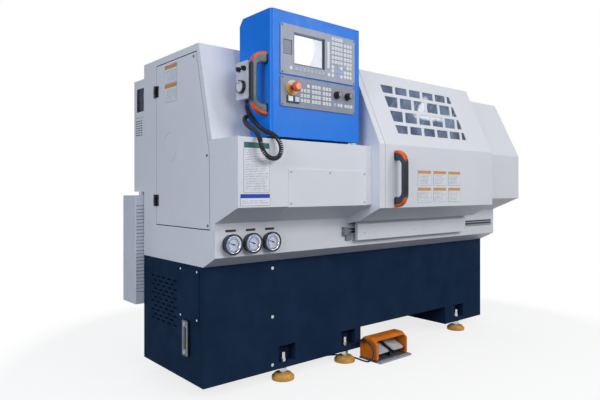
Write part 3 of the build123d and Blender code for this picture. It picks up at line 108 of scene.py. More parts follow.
def mixed(tree, factor, a, b):
    """The output of a node that mixes two colours."""
    node = step(tree, "ShaderNodeMix", factor, data_type="RGBA")
    sockets = [s for s in node.inputs if s.type == "RGBA"]
    for socket, value in zip(sockets, (a, b)):
        put(tree, socket, value if hasattr(value, "is_linked") else (*value[:3], 1))
    return [s for s in node.outputs if s.type == "RGBA"][0]


def largest(tree, *values):
    """The largest of some values, found two at a time."""
    def larger(a, b):
        return step(tree, "ShaderNodeMath", a, b, operation="MAXIMUM").outputs[0]

    return functools.reduce(larger, values)


class Paint:
    """A procedural material, with short names for the node steps it is made of."""

    def __init__(self, name):
        self.material = bpy.data.materials.new(name)
        self.material.use_nodes = True
        self.tree = self.material.node_tree
        self.place = step(self.tree, "ShaderNodeTexCoord").outputs["Object"]
        split = step(self.tree, "ShaderNodeSeparateXYZ", self.place).outputs
        self.station = self.math("MULTIPLY_ADD", split[0], 1000, -LEFT)
        self.depth = self.math("MULTIPLY_ADD", split[1], 1000, -FRONT)
        self.height = self.math("MULTIPLY", split[2], 1000)

    def math(self, operation, a, b=0.0, c=0.0, clamp=False):
        return step(self.tree, "ShaderNodeMath", a, b, c, operation=operation, use_clamp=clamp).outputs[0]

    def plus(self, a, b):
        return self.math("ADD", a, b)

    def minus(self, a, b):
        return self.math("SUBTRACT", a, b)

    def times(self, a, b):
        return self.math("MULTIPLY", a, b)

    def far(self, a, b):
        """The distance to a point that is a away one way and b the other."""
        return self.math("SQRT", self.plus(self.times(a, a), self.times(b, b)))

    def mix(self, factor, a, b):
        return mixed(self.tree, factor, a, b)

    def noise_from(self, place, scale, detail):
        node = step(self.tree, "ShaderNodeTexNoise", place)
        node.inputs["Scale"].default_value = scale
        node.inputs["Detail"].default_value = detail
        return node.outputs["Fac"]

    def noise(self, scale, detail, stretch=None):
        """Noise over the surface, drawn out along an axis where its stretch is small."""
        place = self.place
        if stretch:
            move = step(self.tree, "ShaderNodeMapping", place)
            move.inputs["Scale"].default_value = stretch
            place = move.outputs[0]
        return self.noise_from(place, scale, detail)

    def noise_at(self, x, y, z, detail=1.0):
        """Noise read at a point made of three values."""
        return self.noise_from(step(self.tree, "ShaderNodeCombineXYZ", x, y, z).outputs[0], 1.0, detail)

    def above(self, value, limit, soft=0.3):
        """1 where a value is well above a limit, 0 below it."""
        return self.math("MULTIPLY_ADD", value, 1 / soft, -limit / soft, clamp=True)

    def below(self, value, limit, soft=0.3):
        return self.math("MULTIPLY_ADD", value, -1 / soft, limit / soft, clamp=True)

    def span(self, value, low, high, soft=0.3):
        """1 between low and high, 0 outside."""
        return self.times(self.above(value, low, soft), self.below(value, high, soft))

    def inverse(self, mask):
        return self.minus(1.0, mask)

    def ramp(self, noise, low, high):
        """Noise, which stays near 0.3 to 0.7, spread over low to high."""
        return step(self.tree, "ShaderNodeMapRange", noise, 0.3, 0.7, low, high).outputs[0]

    def vary(self, scale, detail, low, high):
        """A number that drifts between low and high over the surface."""
        return self.ramp(self.noise(scale, detail), low, high)

    def cloudy(self, scale, detail, dark, pale):
        """A colour that drifts between two over the surface."""
        return self.mix(self.vary(scale, detail, 0, 1), dark, pale)

    def both(self, *masks):
        return functools.reduce(self.times, masks)

    def either(self, *masks):
        return largest(self.tree, *masks)

    def reach(self, centre, end=False):
        """Distance from a point across the machine's front, or across its end."""
        across = self.depth if end else self.station
        return self.far(self.minus(across, centre[0]), self.minus(self.height, centre[1]))

    def finish(self, tone, rough, bump=0.0, bump_scale=500.0, bump_size=0.0001, soft_edge=0.0, **more):
        """The material, with a bump of noise or of a given value. more names shader inputs."""
        shader = self.tree.nodes["Principled BSDF"]
        for name, value in {"Base Color": tone, "Roughness": rough, **more}.items():
            put(self.tree, shader.inputs[name.replace("_", " ")], value)
        normal = None
        if soft_edge:
            normal = step(self.tree, "ShaderNodeBevel", soft_edge, samples=4).outputs[0]
        if bump:
            node = step(self.tree, "ShaderNodeBump")
            node.inputs["Strength"].default_value = bump
            node.inputs["Distance"].default_value = bump_size
            height = bump_scale if hasattr(bump_scale, "is_linked") else self.noise(bump_scale, 2)
            put(self.tree, node.inputs["Height"], height)
            if normal:
                put(self.tree, node.inputs["Normal"], normal)
            normal = node.outputs[0]
        if normal:
            put(self.tree, shader.inputs["Normal"], normal)
        return self.material


def shade(colour, factor):
    """A colour made darker or lighter."""
    return tuple(min(1.0, c * factor) for c in colour)


# bumps: orange peel on sprayed paint, and the grain of moulded plastic
PEEL = {"bump_scale": 260.0, "bump_size": 0.0004}
GRAIN = 900.0


def painted(name, colour, rough=0.38, mottle=0.05, scale=14.0, peel=0.12, edge=0.0012, shine=0.5, grime=0.0):
    """Sheet metal or cast iron paint: slight cloudiness, orange peel and softened edges."""
    p = Paint(name)
    tone = p.cloudy(scale, 4, shade(colour, 1 - mottle), shade(colour, 1 + mottle))
    if grime:
        streak = p.above(p.noise(5, 6, (1, 1, 0.25)), 0.56, 0.16)
        tone = p.mix(p.times(streak, grime), tone, shade(colour, 0.6))
    gloss = p.vary(scale * 2.3, 3, rough - 0.05, rough + 0.06)
    return p.finish(tone, gloss, bump=peel, soft_edge=edge, Specular_IOR_Level=shine, **PEEL)


WHITE = (0.72, 0.735, 0.785)
NAVY = (0.012, 0.029, 0.066)
BLUE = (0.0, 0.185, 0.76)


def assign(material, *names):
    """Give a material to nodes of the CAD."""
    for name in names:
        node = NODES[name]
        node.data.materials.clear()
        node.data.materials.append(material)


white = painted("white_paint", WHITE, 0.4, mottle=0.012, scale=5, peel=0.12, shine=0.35)
# the white paint made darker and bluer for the louvre box: painted shade for a side that faces away from the
# light, with streaks of grime
shaded_white = painted("shaded_white", (0.6, 0.63, 0.7), 0.45, mottle=0.02, shine=0.3, grime=0.1)
navy = painted("navy_paint", NAVY, 0.55, mottle=0.14, scale=9, peel=0.6, edge=0.003, shine=0.01, grime=0.15)
blue = painted("blue_paint", BLUE, 0.32, mottle=0.03, peel=0.3, edge=0.0, shine=0.27)


def metal(name, colour, rough, stretch=(1, 1, 1)):
    """Bare metal: its colour, roughness and bump follow one grain."""
    p = Paint(name)
    grain = p.noise(90.0, 6, stretch)
    tone = p.mix(p.ramp(grain, 0, 1), shade(colour, 0.86), shade(colour, 1.08))
    return p.finish(
        tone, p.ramp(grain, rough - 0.08, rough + 0.1), bump=0.08, bump_scale=grain, bump_size=0.0002,
        soft_edge=0.0006, Metallic=1.0,
    )


def plastic(name, colour, rough, bump=0.25):
    p = Paint(name)
    tone = p.cloudy(35, 3, shade(colour, 0.94), shade(colour, 1.06))
    gloss = p.vary(60, 2, rough - 0.06, rough + 0.06)
    return p.finish(tone, gloss, bump=bump, bump_scale=GRAIN, soft_edge=0.0008)


bright_steel = metal("bright_steel", (0.62, 0.63, 0.65), 0.26, (1, 30, 30))
ground_steel = metal("ground_steel", (0.36, 0.37, 0.38), 0.34, (30, 1, 30))
dark_steel = metal("dark_steel", (0.12, 0.12, 0.13), 0.42)
black_metal = painted("black_metal", (0.012, 0.013, 0.02), 0.35, peel=0.3)
casting_grey = painted("casting_grey", (0.3, 0.32, 0.34), 0.5, mottle=0.1, scale=24, peel=0.8, edge=0.003)
motor_grey = painted("motor_grey", (0.09, 0.1, 0.12), 0.45, mottle=0.1, peel=0.5)
black_plastic = plastic("black_plastic", (0.014, 0.014, 0.017), 0.42)
cord_rubber = plastic("cord_rubber", (0.012, 0.013, 0.018), 0.48, bump=0.15)
belt_rubber = plastic("belt_rubber", (0.02, 0.02, 0.02), 0.7, bump=0.5)
white_plastic = plastic("white_plastic", (0.78, 0.8, 0.84), 0.3, bump=0.05)
pad_orange = painted("pad_orange", (0.66, 0.34, 0.07), 0.5, mottle=0.2, scale=30, peel=0.6, edge=0.002)

assign(navy, "base_casting", "end_inspection_plate")
assign(shaded_white, "louvre_box")
assign(white, "chip_tray", "headstock_cover", "upper_housing", "access_plate", "headstock_bulkhead",
       "rear_guard", "end_cover", "door_panel", "door_apron")
assign(blue, "pendant_case")
assign(bright_steel, "levelling_bolts", "cover_screws", "spindle", "tailstock_quill",
       "pendant_post", "chuck_jaw_1", "chuck_jaw_2", "chuck_jaw_3")
assign(ground_steel, "chuck_body", "tool_turret", "clamping_cylinder", "motor_pulley")
assign(casting_grey, "bed", "headstock_casting", "carriage", "cross_slide", "tailstock")
assign(motor_grey, "spindle_motor")
assign(black_metal, "end_door_hinges")
assign(black_plastic, "axis_selector", "step_selector", "estop_stem")
assign(belt_rubber, "drive_belt")
assign(white_plastic, "start_button")
assign(plastic("hold_plastic", (0.5, 0.6, 0.8), 0.3, bump=0.05), "hold_button")
assign(pad_orange, "levelling_pads")


# ---------------------------------------------------------------- materials coloured by place
def zone(p, s=None, d=None, h=None):
    """1 inside a range of station, depth and height."""
    masks = [p.span(v, *r) for v, r in ((p.station, s), (p.depth, d), (p.height, h)) if r]
    return p.both(*masks)


def panel_paint(name, bezel):
    """The start of a panel's paint: its tone so far, and a mask of the keys that stand out of it."""
    p = Paint(name)
    tone = p.cloudy(30, 4, shade(bezel, 0.95), shade(bezel, 1.05))
    keys = p.below(p.depth, PANEL - 0.35, 0.2)
    return p, tone, keys


p = Paint("stop_red")
tone = p.cloudy(50, 3, (0.72, 0.07, 0.008), (0.84, 0.11, 0.014))
# the middle of the head's front face is paler: a painted highlight
tone = p.mix(p.both(p.below(p.reach(ESTOP), 14, 3), p.below(p.depth, -262, 2)), tone, (0.86, 0.3, 0.19))
assign(p.finish(tone, p.vary(60, 2, 0.24, 0.34), bump=0.03, bump_scale=GRAIN), "estop_head")

p, tone, keys = panel_paint("control_unit_face", (0.328, 0.361, 0.445))
tone = p.mix(keys, tone, (0.75, 0.775, 0.83))
for x, h in ((511, 1337), (511, 1303), (493.5, 1320), (528.5, 1320), (511, 1320)):
    arrow_key = zone(p, (x - 6.6, x + 6.6), None, (h - 6.6, h + 6.6))
    tone = p.mix(p.both(keys, arrow_key), tone, (0.3, 0.44, 0.74))
tone = p.mix(p.both(keys, zone(p, (572, 586), None, (1335, 1349))), tone, (0.8, 0.68, 0.36))
tone = p.mix(p.both(keys, zone(p, (270, 432), None, (1293, 1309))), tone, (0.42, 0.46, 0.56))
tone = p.mix(zone(p, (216.5, 259.5), (-229.6, -226), (1351, 1409)), tone, (0.1, 0.12, 0.17))
tone = p.mix(zone(p, (266, 432), (-229.8, -215), (1316, 1443)), tone, (0.03, 0.035, 0.045))
gloss = p.vary(50, 3, 0.36, 0.5)
assign(p.finish(tone, gloss, bump=0.12, bump_scale=GRAIN, soft_edge=0.0006), "control_unit")

p, tone, keys = panel_paint("operator_panel_face", (0.243, 0.27, 0.342))
tone = p.mix(keys, tone, (0.72, 0.75, 0.81))
tone = p.mix(p.both(keys, p.span(p.height, 1173, 1188), p.span(p.station, 489, 505)), tone, (0.25, 0.4, 0.74))
proud = p.below(p.depth, PANEL - 0.3, 0.2)
tone = p.mix(p.both(proud, zone(p, (215, 294.5), None, (1160, 1195))), tone, (0.016, 0.018, 0.024))
lean = p.plus(p.minus(p.station, ESTOP[0]), p.minus(p.height, ESTOP[1]))
collar_tone = p.mix(p.below(lean, -4, 4), (0.6, 0.6, 0.6), (0.84, 0.4, 0.04))
tone = p.mix(p.both(proud, p.below(p.reach(ESTOP), 29.6)), tone, collar_tone)
behind = p.both(p.above(p.depth, PANEL + 0.5), zone(p, (206, 604), None, (1152, 1266)))
tone = p.mix(behind, tone, (0.05, 0.055, 0.07))
gloss = p.vary(50, 3, 0.38, 0.52)
assign(p.finish(tone, gloss, bump=0.12, bump_scale=GRAIN, soft_edge=0.0006), "operator_panel")


# curved handles, in mm: thickness at the grip and at the feet, width, and the bend between
GRIP, FOOT, WIDE = 27, 45, 28
BEND_OUT, BEND_UP = 12, 44


def grip_paint(name, out, middle, foot, reach, dark, pale):
    """A moulded handle: black insert along the grip, orange caps round its outer corners.

    out is the direction it stands out in, d for depth or s for station, and the face it stands on.
    """
    p = Paint(name)
    outward = p.minus(out[1], p.depth if out[0] == "d" else p.station)
    along = p.math("ABSOLUTE", p.minus(p.height, middle))
    swing = reach - GRIP / 2 - BEND_OUT
    bend_out = p.either(p.math("MULTIPLY_ADD", outward, 1 / swing, -BEND_OUT / swing), 0.0)
    bend_up = p.math("MULTIPLY_ADD", along, 1 / BEND_UP, 1 - foot / BEND_UP)
    cap = p.both(p.above(along, foot - 20, 1), p.above(p.far(bend_out, bend_up), 1.24, 0.02))
    faces = p.either(p.above(outward, reach - 8), p.below(outward, reach - 23))
    insert = p.both(p.below(along, foot - 27, 1), faces)
    ends = p.both(p.above(along, foot - 60), p.below(outward, 11), p.inverse(cap))
    tone = p.cloudy(22, 3, dark, pale)
    tone = p.mix(p.either(insert, ends), tone, (0.012, 0.014, 0.02))
    tone = p.mix(cap, tone, p.cloudy(45, 3, (0.66, 0.075, 0.004), (0.86, 0.14, 0.008)))
    return p.finish(tone, p.vary(60, 2, 0.3, 0.42), bump=0.3, bump_scale=1100.0, Specular_IOR_Level=0.4)


door_grip = grip_paint(
    "door_grip", ("d", DOOR), 878, 103.5, 63, (0.03, 0.04, 0.062), (0.05, 0.062, 0.09))
pendant_grip = grip_paint(
    "pendant_grip", ("s", 161), 1233, 98.5, 75, (0.075, 0.088, 0.11), (0.13, 0.15, 0.185))

p = Paint("window_glass")
# the glass's dark blue-grey tint, with paler blotches of painted reflection drifting over it
cloud = p.ramp(p.noise(7, 5, (1.6, 1, 0.7)), 0, 1)
tone = p.mix(cloud, (0.045, 0.07, 0.125), (0.19, 0.25, 0.36))
tone = p.mix(p.both(p.above(p.station, 1290, 60), p.below(p.height, 1170, 60)), tone, (0.07, 0.085, 0.105))
drift = p.math("MULTIPLY_ADD", p.noise(22, 4), 90, -45)
# two painted reflections, soft bright patches, each with its middle, its reach both ways and its lean
for middle, reach_s, reach_h, lean in (((1150, 1190), 118, 24, 0.0), ((1130, 1240), 34, 66, 1.1)):
    up = p.minus(p.height, middle[1])
    across = p.minus(p.minus(p.station, middle[0]), p.times(up, lean))
    away = p.plus(p.far(p.times(across, 1 / reach_s), p.times(up, 1 / reach_h)), p.times(drift, 0.012))
    tone = p.mix(p.below(away, 1.1, 0.5), tone, (0.8, 0.84, 0.92))
# slanting paler streaks: painted reflection, as of strip lights
slant = p.math("MULTIPLY_ADD", p.height, -1.3, p.station)
streak = p.noise_at(p.times(slant, 0.035), 0.0, p.times(p.height, 0.002), 3)
tone = p.mix(p.times(p.above(streak, 0.58, 0.05), 0.45), tone, (0.4, 0.47, 0.6))
assign(p.finish(tone, p.vary(40, 2, 0.1, 0.18), Specular_IOR_Level=0.4), "door_window")

p = Paint("cabinet_paint")
tone = p.cloudy(5, 4, shade(WHITE, 0.98), shade(WHITE, 1.01))
glass = p.cloudy(26, 4, (0.015, 0.02, 0.032), (0.07, 0.085, 0.12))
window = zone(p, (-2, 6.6), (548, 626), (1196.5, 1306.5))
vents = zone(p, (0.4, 6.6), (540, 660), (1080, 1160))
tone = p.mix(window, tone, glass)
tone = p.mix(vents, tone, (0.02, 0.022, 0.028))
gloss = p.math("MULTIPLY_ADD", window, -0.3, 0.42)
assign(p.finish(tone, gloss, bump=0.12, soft_edge=0.0012, Specular_IOR_Level=0.35, **PEEL), "rear_cabinet")

p = Paint("end_door_paint")
tone = p.cloudy(5, 4, shade(WHITE, 0.985), shade(WHITE, 1.015))
hinges = p.either(p.span(p.height, 756, 808), p.span(p.height, 1240, 1292))
leaves = p.both(p.below(p.station, -0.05, 0.02), p.above(p.depth, 386), hinges)
tone = p.mix(leaves, tone, (0.008, 0.009, 0.014))
assign(p.finish(tone, p.vary(11, 3, 0.35, 0.46), bump=0.12, Specular_IOR_Level=0.35, **PEEL), "end_door")

p = Paint("rail_paint")
inside = p.both(p.above(p.depth, -102.6, 0.2), p.span(p.height, 628, 652))
tone = p.cloudy(30, 3, (0.46, 0.48, 0.54), (0.54, 0.56, 0.62))
tone = p.mix(p.below(p.station, 724), tone, (0.2, 0.22, 0.25))
# the channel's inside is painted near black as painted shade, with a paler strip along its middle
tone = p.mix(p.both(inside, p.above(p.station, 724)), tone, (0.022, 0.028, 0.042))
tone = p.mix(p.both(inside, p.span(p.height, 638, 643, 1)), tone, (0.4, 0.43, 0.5))
assign(p.finish(tone, p.vary(60, 3, 0.3, 0.42), bump=0.1), "door_rail")

p = Paint("oil_gauge")
rim = p.both(p.span(p.depth, 107.5, 146.5, 1), p.span(p.height, 159, 293, 1), p.below(p.station, -4.5))
slot = zone(p, (-15.5, -3.5), (115.8, 138.2), (181.8, 270.2))
tone = p.mix(rim, (0.008, 0.009, 0.014), (0.2, 0.25, 0.34))
fluid = p.mix(p.above(p.height, 224, 1.5), (0.1, 0.045, 0.012), (0.04, 0.05, 0.07))
tone = p.mix(slot, tone, fluid)
tone = p.mix(p.both(p.below(p.station, -12.3), p.inverse(slot)), tone, (0.42, 0.46, 0.55))
assign(p.finish(tone, p.vary(60, 2, 0.2, 0.32), bump=0.1, soft_edge=0.001), "oil_sight_gauge")

p = Paint("gauge_rim")
tone = p.cloudy(40, 3, (0.006, 0.009, 0.018), (0.012, 0.018, 0.034))
assign(p.finish(tone, p.vary(50, 2, 0.16, 0.26), soft_edge=0.0015), "pressure_gauges")

p = Paint("knob_plastic")
crown = p.below(p.depth, -254.6, 0.2)
cap = p.both(crown, p.either(*[p.below(p.reach((x, KNOB_HEIGHT)), 9.5) for x in KNOBS]))
mark = p.both(crown, p.above(p.height, 1224), p.either(*[p.span(p.station, x - 0.7, x + 0.7) for x in KNOBS]))
tone = p.cloudy(35, 3, (0.011, 0.012, 0.015), (0.017, 0.018, 0.022))
tone = p.mix(cap, tone, (0.24, 0.26, 0.3))
tone = p.mix(mark, tone, (0.8, 0.82, 0.85))
knob_plastic = p.finish(tone, p.vary(60, 2, 0.34, 0.46), bump=0.2, bump_scale=GRAIN, soft_edge=0.0006)
assign(knob_plastic, "feed_knob", "speed_knob")

p = Paint("handwheel_body")
tone = p.cloudy(26, 4, (0.5, 0.52, 0.57), (0.58, 0.6, 0.65))
for centre in ((-108, 1301), (-72, 1301)):
    for angle in (-60, -20, 20, 60):
        turn = math.radians(90 + angle)
        spot = (centre[0] + 13.2 * math.cos(turn), centre[1] + 13.2 * math.sin(turn))
        dot = p.both(p.below(p.station, 121.3), p.below(p.reach(spot, end=True), 1.1))
        tone = p.mix(dot, tone, (0.04, 0.045, 0.06))
gloss = p.vary(50, 3, 0.3, 0.42)
assign(p.finish(tone, gloss, bump=0.15, bump_scale=GRAIN, soft_edge=0.001), "handwheel_case")

p = Paint("handwheel_scale")
face = p.below(p.station, 106.9, 0.2)
radius = p.reach(WHEEL, end=True)
turn = p.math("ARCTAN2", p.minus(p.height, WHEEL[1]), p.minus(p.depth, WHEEL[0]))
tick = p.math("FRACT", p.math("MULTIPLY_ADD", turn, 50 / math.tau, 50.5))
fine = p.both(p.span(tick, 0.36, 0.64, 0.06), p.span(radius, 21.6, 24.4))
tone = p.mix(p.both(face, p.below(radius, 20.6)), (0.013, 0.014, 0.018), (0.62, 0.64, 0.68))
tone = p.mix(p.both(face, fine), tone, (0.75, 0.77, 0.8))
gloss = p.vary(60, 2, 0.22, 0.34)
assign(p.finish(tone, gloss, bump=0.1, bump_scale=GRAIN, soft_edge=0.0008), "handwheel_dial")

p = Paint("pedal_guard_paint")
front_slope = p.math("MULTIPLY_ADD", p.depth, -0.727, p.height)
back_slope = p.math("MULTIPLY_ADD", p.depth, 0.857, p.height)
slopes = p.both(p.below(front_slope, 169.5), p.below(back_slope, 81.5))
inside = p.both(zone(p, (880.6, 1097.4), (-110.2, -8.6), (8.5, 106.4)), slopes)
orange = p.cloudy(20, 5, (0.66, 0.15, 0.003), (0.78, 0.22, 0.006))
chips = p.above(p.noise(70, 5), 0.7, 0.03)
orange = p.mix(p.times(chips, 0.4), orange, (0.3, 0.12, 0.06))
# painted shade: the inside of the hood is a darker red than its outside
hollow_shade = p.cloudy(20, 4, (0.2, 0.022, 0.004), (0.34, 0.05, 0.006))
tone = p.mix(p.both(inside, p.below(p.station, 1094)), orange, hollow_shade)
guard_paint = p.finish(tone, p.vary(30, 3, 0.32, 0.46), bump=0.25, **PEEL)

p = Paint("pedal_metal")
groove = p.span(p.math("FRACT", p.times(p.depth, 1 / 7)), 0.12, 0.6, 0.1)
tone = p.cloudy(50, 4, (0.5, 0.51, 0.56), (0.62, 0.63, 0.68))
tone = p.mix(p.times(groove, 0.2), tone, (0.2, 0.21, 0.23))
pedal_metal = p.finish(tone, p.vary(60, 3, 0.4, 0.55), bump=0.5, bump_scale=groove, bump_size=0.001)

p = Paint("pedal_plate_metal")
tone = p.cloudy(40, 5, (0.05, 0.052, 0.06), (0.11, 0.115, 0.13))
tone = p.mix(p.either(p.above(p.height, 9.4), p.below(p.depth, -118)), tone, (0.42, 0.43, 0.47))
lip = p.both(p.below(p.depth, -118), p.below(p.height, 9.4), p.above(p.height, 8.6))
tone = p.mix(lip, tone, (0.2, 0.21, 0.23))
gloss = p.vary(60, 3, 0.45, 0.6)
assign(p.finish(tone, gloss, bump=0.4, bump_scale=300.0, bump_size=0.0004, soft_edge=0.0008), "pedal_base")


def printed(name, plane, rect, band, ink, pitch, repeat=None, margin=6):
    """A plate with a thin border, a coloured band at its top and broken grey lines below."""
    p = Paint(name)
    across = p.minus(p.station if plane == "front" else p.depth, rect[0])
    up = p.minus(p.height, rect[1])
    width, height = rect[2] - rect[0], rect[3] - rect[1]
    cell = 0.0
    if repeat:
        column = p.math("FLOOR", p.times(across, 1 / repeat[0]))
        line = p.math("FLOOR", p.times(up, 1 / repeat[1]))
        across = p.minus(across, p.times(column, repeat[0]))
        up = p.minus(up, p.times(line, repeat[1]))
        cell = p.math("MULTIPLY_ADD", line, 17.3, p.times(column, 5.7))
    paper = p.cloudy(18, 3, (0.72, 0.74, 0.79), (0.79, 0.81, 0.86))
    row = p.times(up, 1 / pitch)
    index = p.math("FLOOR", row)
    phase = p.math("FRACT", row)
    words = p.noise_at(p.times(across, 0.42), p.times(index, 7.31), cell)
    end = p.noise_at(0.5, p.times(index, 3.7), cell)
    short = p.math("MULTIPLY_ADD", end, -0.7 * width, 1.25 * width - margin)
    marks = p.both(
        p.span(phase, 0.25, 0.6, 0.12), p.above(words, 0.42, 0.06), p.above(across, margin),
        p.above(p.minus(short, across), 0, 1), p.below(across, width - margin),
        p.below(up, height - band - pitch * 0.6), p.above(up, margin * 0.8),
    )
    tone = p.mix(p.times(marks, 0.9), paper, (0.05, 0.07, 0.14))
    tone = p.mix(p.both(p.above(up, height - band), p.span(across, 1.5, width - 1.5)), tone, ink)
    edge = p.inverse(p.both(p.span(across, 0.9, width - 0.9), p.span(up, 0.9, height - 0.9)))
    tone = p.mix(edge, tone, (0.08, 0.1, 0.16))
    return p.finish(tone, p.vary(30, 3, 0.3, 0.42), bump=0.05, bump_scale=400.0)


sheet_print = printed("machine_data_sheet", "front", DATA_SHEET, 21, (0.012, 0.12, 0.13), 6.1)
blue_print = printed("lubrication_sheet", "front", OIL_SHEET, 15, (0.004, 0.045, 0.42), 7.4)
end_print = printed("drive_sheets", "end", DRIVE_SHEET, 17, (0.6, 0.28, 0.07), 6.8, (200, DRIVE_STEP))
door_print = printed("operating_sheets", "front", DOOR_SHEET, 14, (0.66, 0.31, 0.07), 6.4, DOOR_STEP)


# ---------------------------------------------------------------- mesh tools
def piece(name, verts, faces, body, material, slot, smooth=False, replaces=()):
    """A mesh of the scene's own that rides a body and may stand in for nodes of the CAD."""
    mesh = bpy.data.meshes.new(name)
    mesh.from_pydata([tuple(v) for v in verts], [], faces)
    mesh.validate()
    obj = linked(name, mesh)
    work = bmesh.new()
    work.from_mesh(mesh)
    bmesh.ops.remove_doubles(work, verts=work.verts, dist=1e-6)
    bmesh.ops.recalc_face_normals(work, faces=work.faces)
    work.to_mesh(mesh)
    work.free()
    for polygon in mesh.polygons:
        polygon.use_smooth = smooth
    mesh.materials.append(material)
    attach(obj, body)
    if replaces:
        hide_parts(*replaces)
    return obj


def skin(loops):
    """Verts and faces of a shape given as loops of points, capped at its ends."""
    count, last = len(loops[0]), len(loops) - 1
    faces = []
    for k in range(last):
        for i in range(count):
            j = (i + 1) % count
            faces.append((k * count + i, k * count + j, (k + 1) * count + j, (k + 1) * count + i))
    faces += [tuple(range(count))[::-1], tuple(last * count + i for i in range(count))]
    return [v for loop in loops for v in loop], faces


def closed(loops):
    """Verts and faces of loops of points whose last one meets the first."""
    verts, faces = skin(loops)
    first, last = faces.pop(-2)[::-1], faces.pop()
    joins = zip(last, last[1:] + last[:1], first[1:] + first[:1], first)
    return verts, faces + list(joins)


def circle(centre, radius, side, other, sides):
    """Points round a circle that lies along two directions."""
    points = []
    for i in range(sides):
        angle = 2 * math.pi * i / sides
        points.append(centre + (side * math.cos(angle) + other * math.sin(angle)) * radius)
    return points


def turned_loops(profile, centre, axis, sides):
    axis = Vector(axis).normalized()
    side = axis.orthogonal().normalized()
    return [
        circle(Vector(centre) + axis * reach / 1000, max(radius, 1e-4) / 1000, side, axis.cross(side), sides)
        for reach, radius in profile
    ]


def turned(profile, centre, axis, sides=48):
    """Verts and faces of a profile of (reach along the axis, radius), in mm, turned about it."""
    return skin(turned_loops(profile, centre, axis, sides))


def ring(profile, centre, axis, sides=48):
    """Verts and faces of a closed profile of (reach, radius) turned about an axis."""
    return closed(turned_loops(profile, centre, axis, sides))


def along(points, up):
    """Each point of a line, with two directions across the line that turn as little as they can."""
    for i, here in enumerate(points):
        ahead = (points[min(i + 1, len(points) - 1)] - points[max(i - 1, 0)]).normalized()
        up = (up - ahead * up.dot(ahead)).normalized()
        yield here, up, ahead.cross(up)


def tube(points, radius, sides):
    """Verts and faces of a round tube along points, in metres, capped at its ends."""
    up = Vector((0.123, 0.457, 0.881)).normalized()
    return skin([circle(here, radius, side, other, sides) for here, side, other in along(points, up)])


def smooth_step(x):
    return x * x * (3 - 2 * x)


# ---------------------------------------------------------------- cords
def nurbs(points):
    """A smooth curve along points given as station, depth and height."""
    curve = bpy.data.curves.new("route", "CURVE")
    curve.dimensions = "3D"
    curve.resolution_u = 16
    spline = curve.splines.new("NURBS")
    spline.points.add(len(points) - 1)
    for p, spot in zip(spline.points, points):
        p.co = (*at(*spot), 1)
    spline.order_u = 3
    spline.use_endpoint_u = True
    return curve


coil_route = [
    (141, -90, 1182), (141, -90, 1152), (137, -124, 1112), (138, -168, 1076),
    (143, -210, 1050), (156, -256, 1034), (168, -277, 1000), (168, -280, 966), (150, -280, 944),
    (118, -281, 942), (92, -281, 956), (78, -278, 984), (77, -270, 1012), (84, -244, 1038),
    (92, -200, 1056), (104, -152, 1074), (116, -112, 1098), (134, -94, 1117), (161, -94, 1117),
]
route = nurbs(coil_route)
holder = bpy.data.objects.new("route", route)
line_mesh = bpy.data.meshes.new_from_object(holder)
line = [v.co.copy() for v in line_mesh.vertices]
bpy.data.objects.remove(holder)

# the curly cord, in mm: its wire, the coil's width, the pitch, and the straight lead at each end
WIRE, COIL, TURN, LEAD = 5.6, 18.6, 7.6, 16.0


def evenly(points, step):
    """Points a step apart along a line, and the distance of each from its start."""
    spots, reach, carried = [points[0]], [0.0], 0.0
    for a, b in zip(points, points[1:]):
        run = (b - a).length
        while carried + run >= step:
            part = (step - carried) / run
            a = a.lerp(b, part)
            spots.append(a.copy())
            reach.append(reach[-1] + step)
            run = (b - a).length
            carried = 0.0
        carried += run
    return spots, reach


spots, reach = evenly(line, TURN / 16 / 1000)
whole = reach[-1]
helix = []
for gone, (here, side, other) in zip(reach, along(spots, Vector((0.3, 0.2, 0.9)).normalized())):
    near_end = min(gone, whole - gone) * 1000
    swell = min(1.0, max(0.0, (near_end - LEAD) / 8))
    radius = (COIL - WIRE) / 2000 * smooth_step(swell)
    angle = 2 * math.pi * (gone * 1000 - LEAD) / TURN
    helix.append(here + (side * math.cos(angle) + other * math.sin(angle)) * radius)
verts, faces = tube(helix, WIRE / 2000, 8)
coil = piece("curly_cord_helix", verts, faces, "pendant", cord_rubber, "belt_rubber", True, ("curly_cord",))

cable_route = [
    (859, -40, 94), (839, -40, 94),
    (839, -72, 108), (842, -102, 94), (846, -122, 62), (845, -118, 30), (843, -96, 8),
    (843, -60, 4), (848, -14, 4), (846, 44, 4), (812, 100, 4),
    (750, 128, 4), (690, 150, 4), (655, 204, 4), (670, 268, 4),
    (724, 316, 4), (796, 346, 4), (868, 362, 4), (935, 372, 4),
    (992, 380, 18), (1010, 390, 62), (955, 400, 104), (909, 400, 104),
]
cable_curve = nurbs(cable_route)
cable_curve.bevel_depth = 0.004
cable_curve.bevel_resolution = 4
cable_curve.use_fill_caps = True
cable_curve.materials.append(cord_rubber)
cable = linked("foot_switch_cable", cable_curve)
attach(cable, "machine")
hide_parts("pedal_cable")


# ---------------------------------------------------------------- plates, gauges and small parts
def merged(parts):
    verts, faces = [], []
    for more_verts, more_faces in parts:
        start = len(verts)
        verts += more_verts
        faces += [tuple(i + start for i in face) for face in more_faces]
    return verts, faces


def spot_on(plane, across, height, out):
    """A point out from the machine's front (a depth) or its left end (a station)."""
    return at(across, out, height) if plane == "front" else at(out, across, height)


def round_rect(a0, h0, a1, h1, corner, inset=0.0, steps=4):
    """Points round a rectangle with rounded corners, from a0 to a1 and h0 to h1."""
    points = []
    for x, y, start in ((a1 - corner, h1 - corner, 0), (a0 + corner, h1 - corner, 90),
                        (a0 + corner, h0 + corner, 180), (a1 - corner, h0 + corner, 270)):
        for k in range(steps + 1):
            turn = math.radians(start + 90 * k / steps)
            points.append((x + math.cos(turn) * (corner - inset), y + math.sin(turn) * (corner - inset)))
    return points


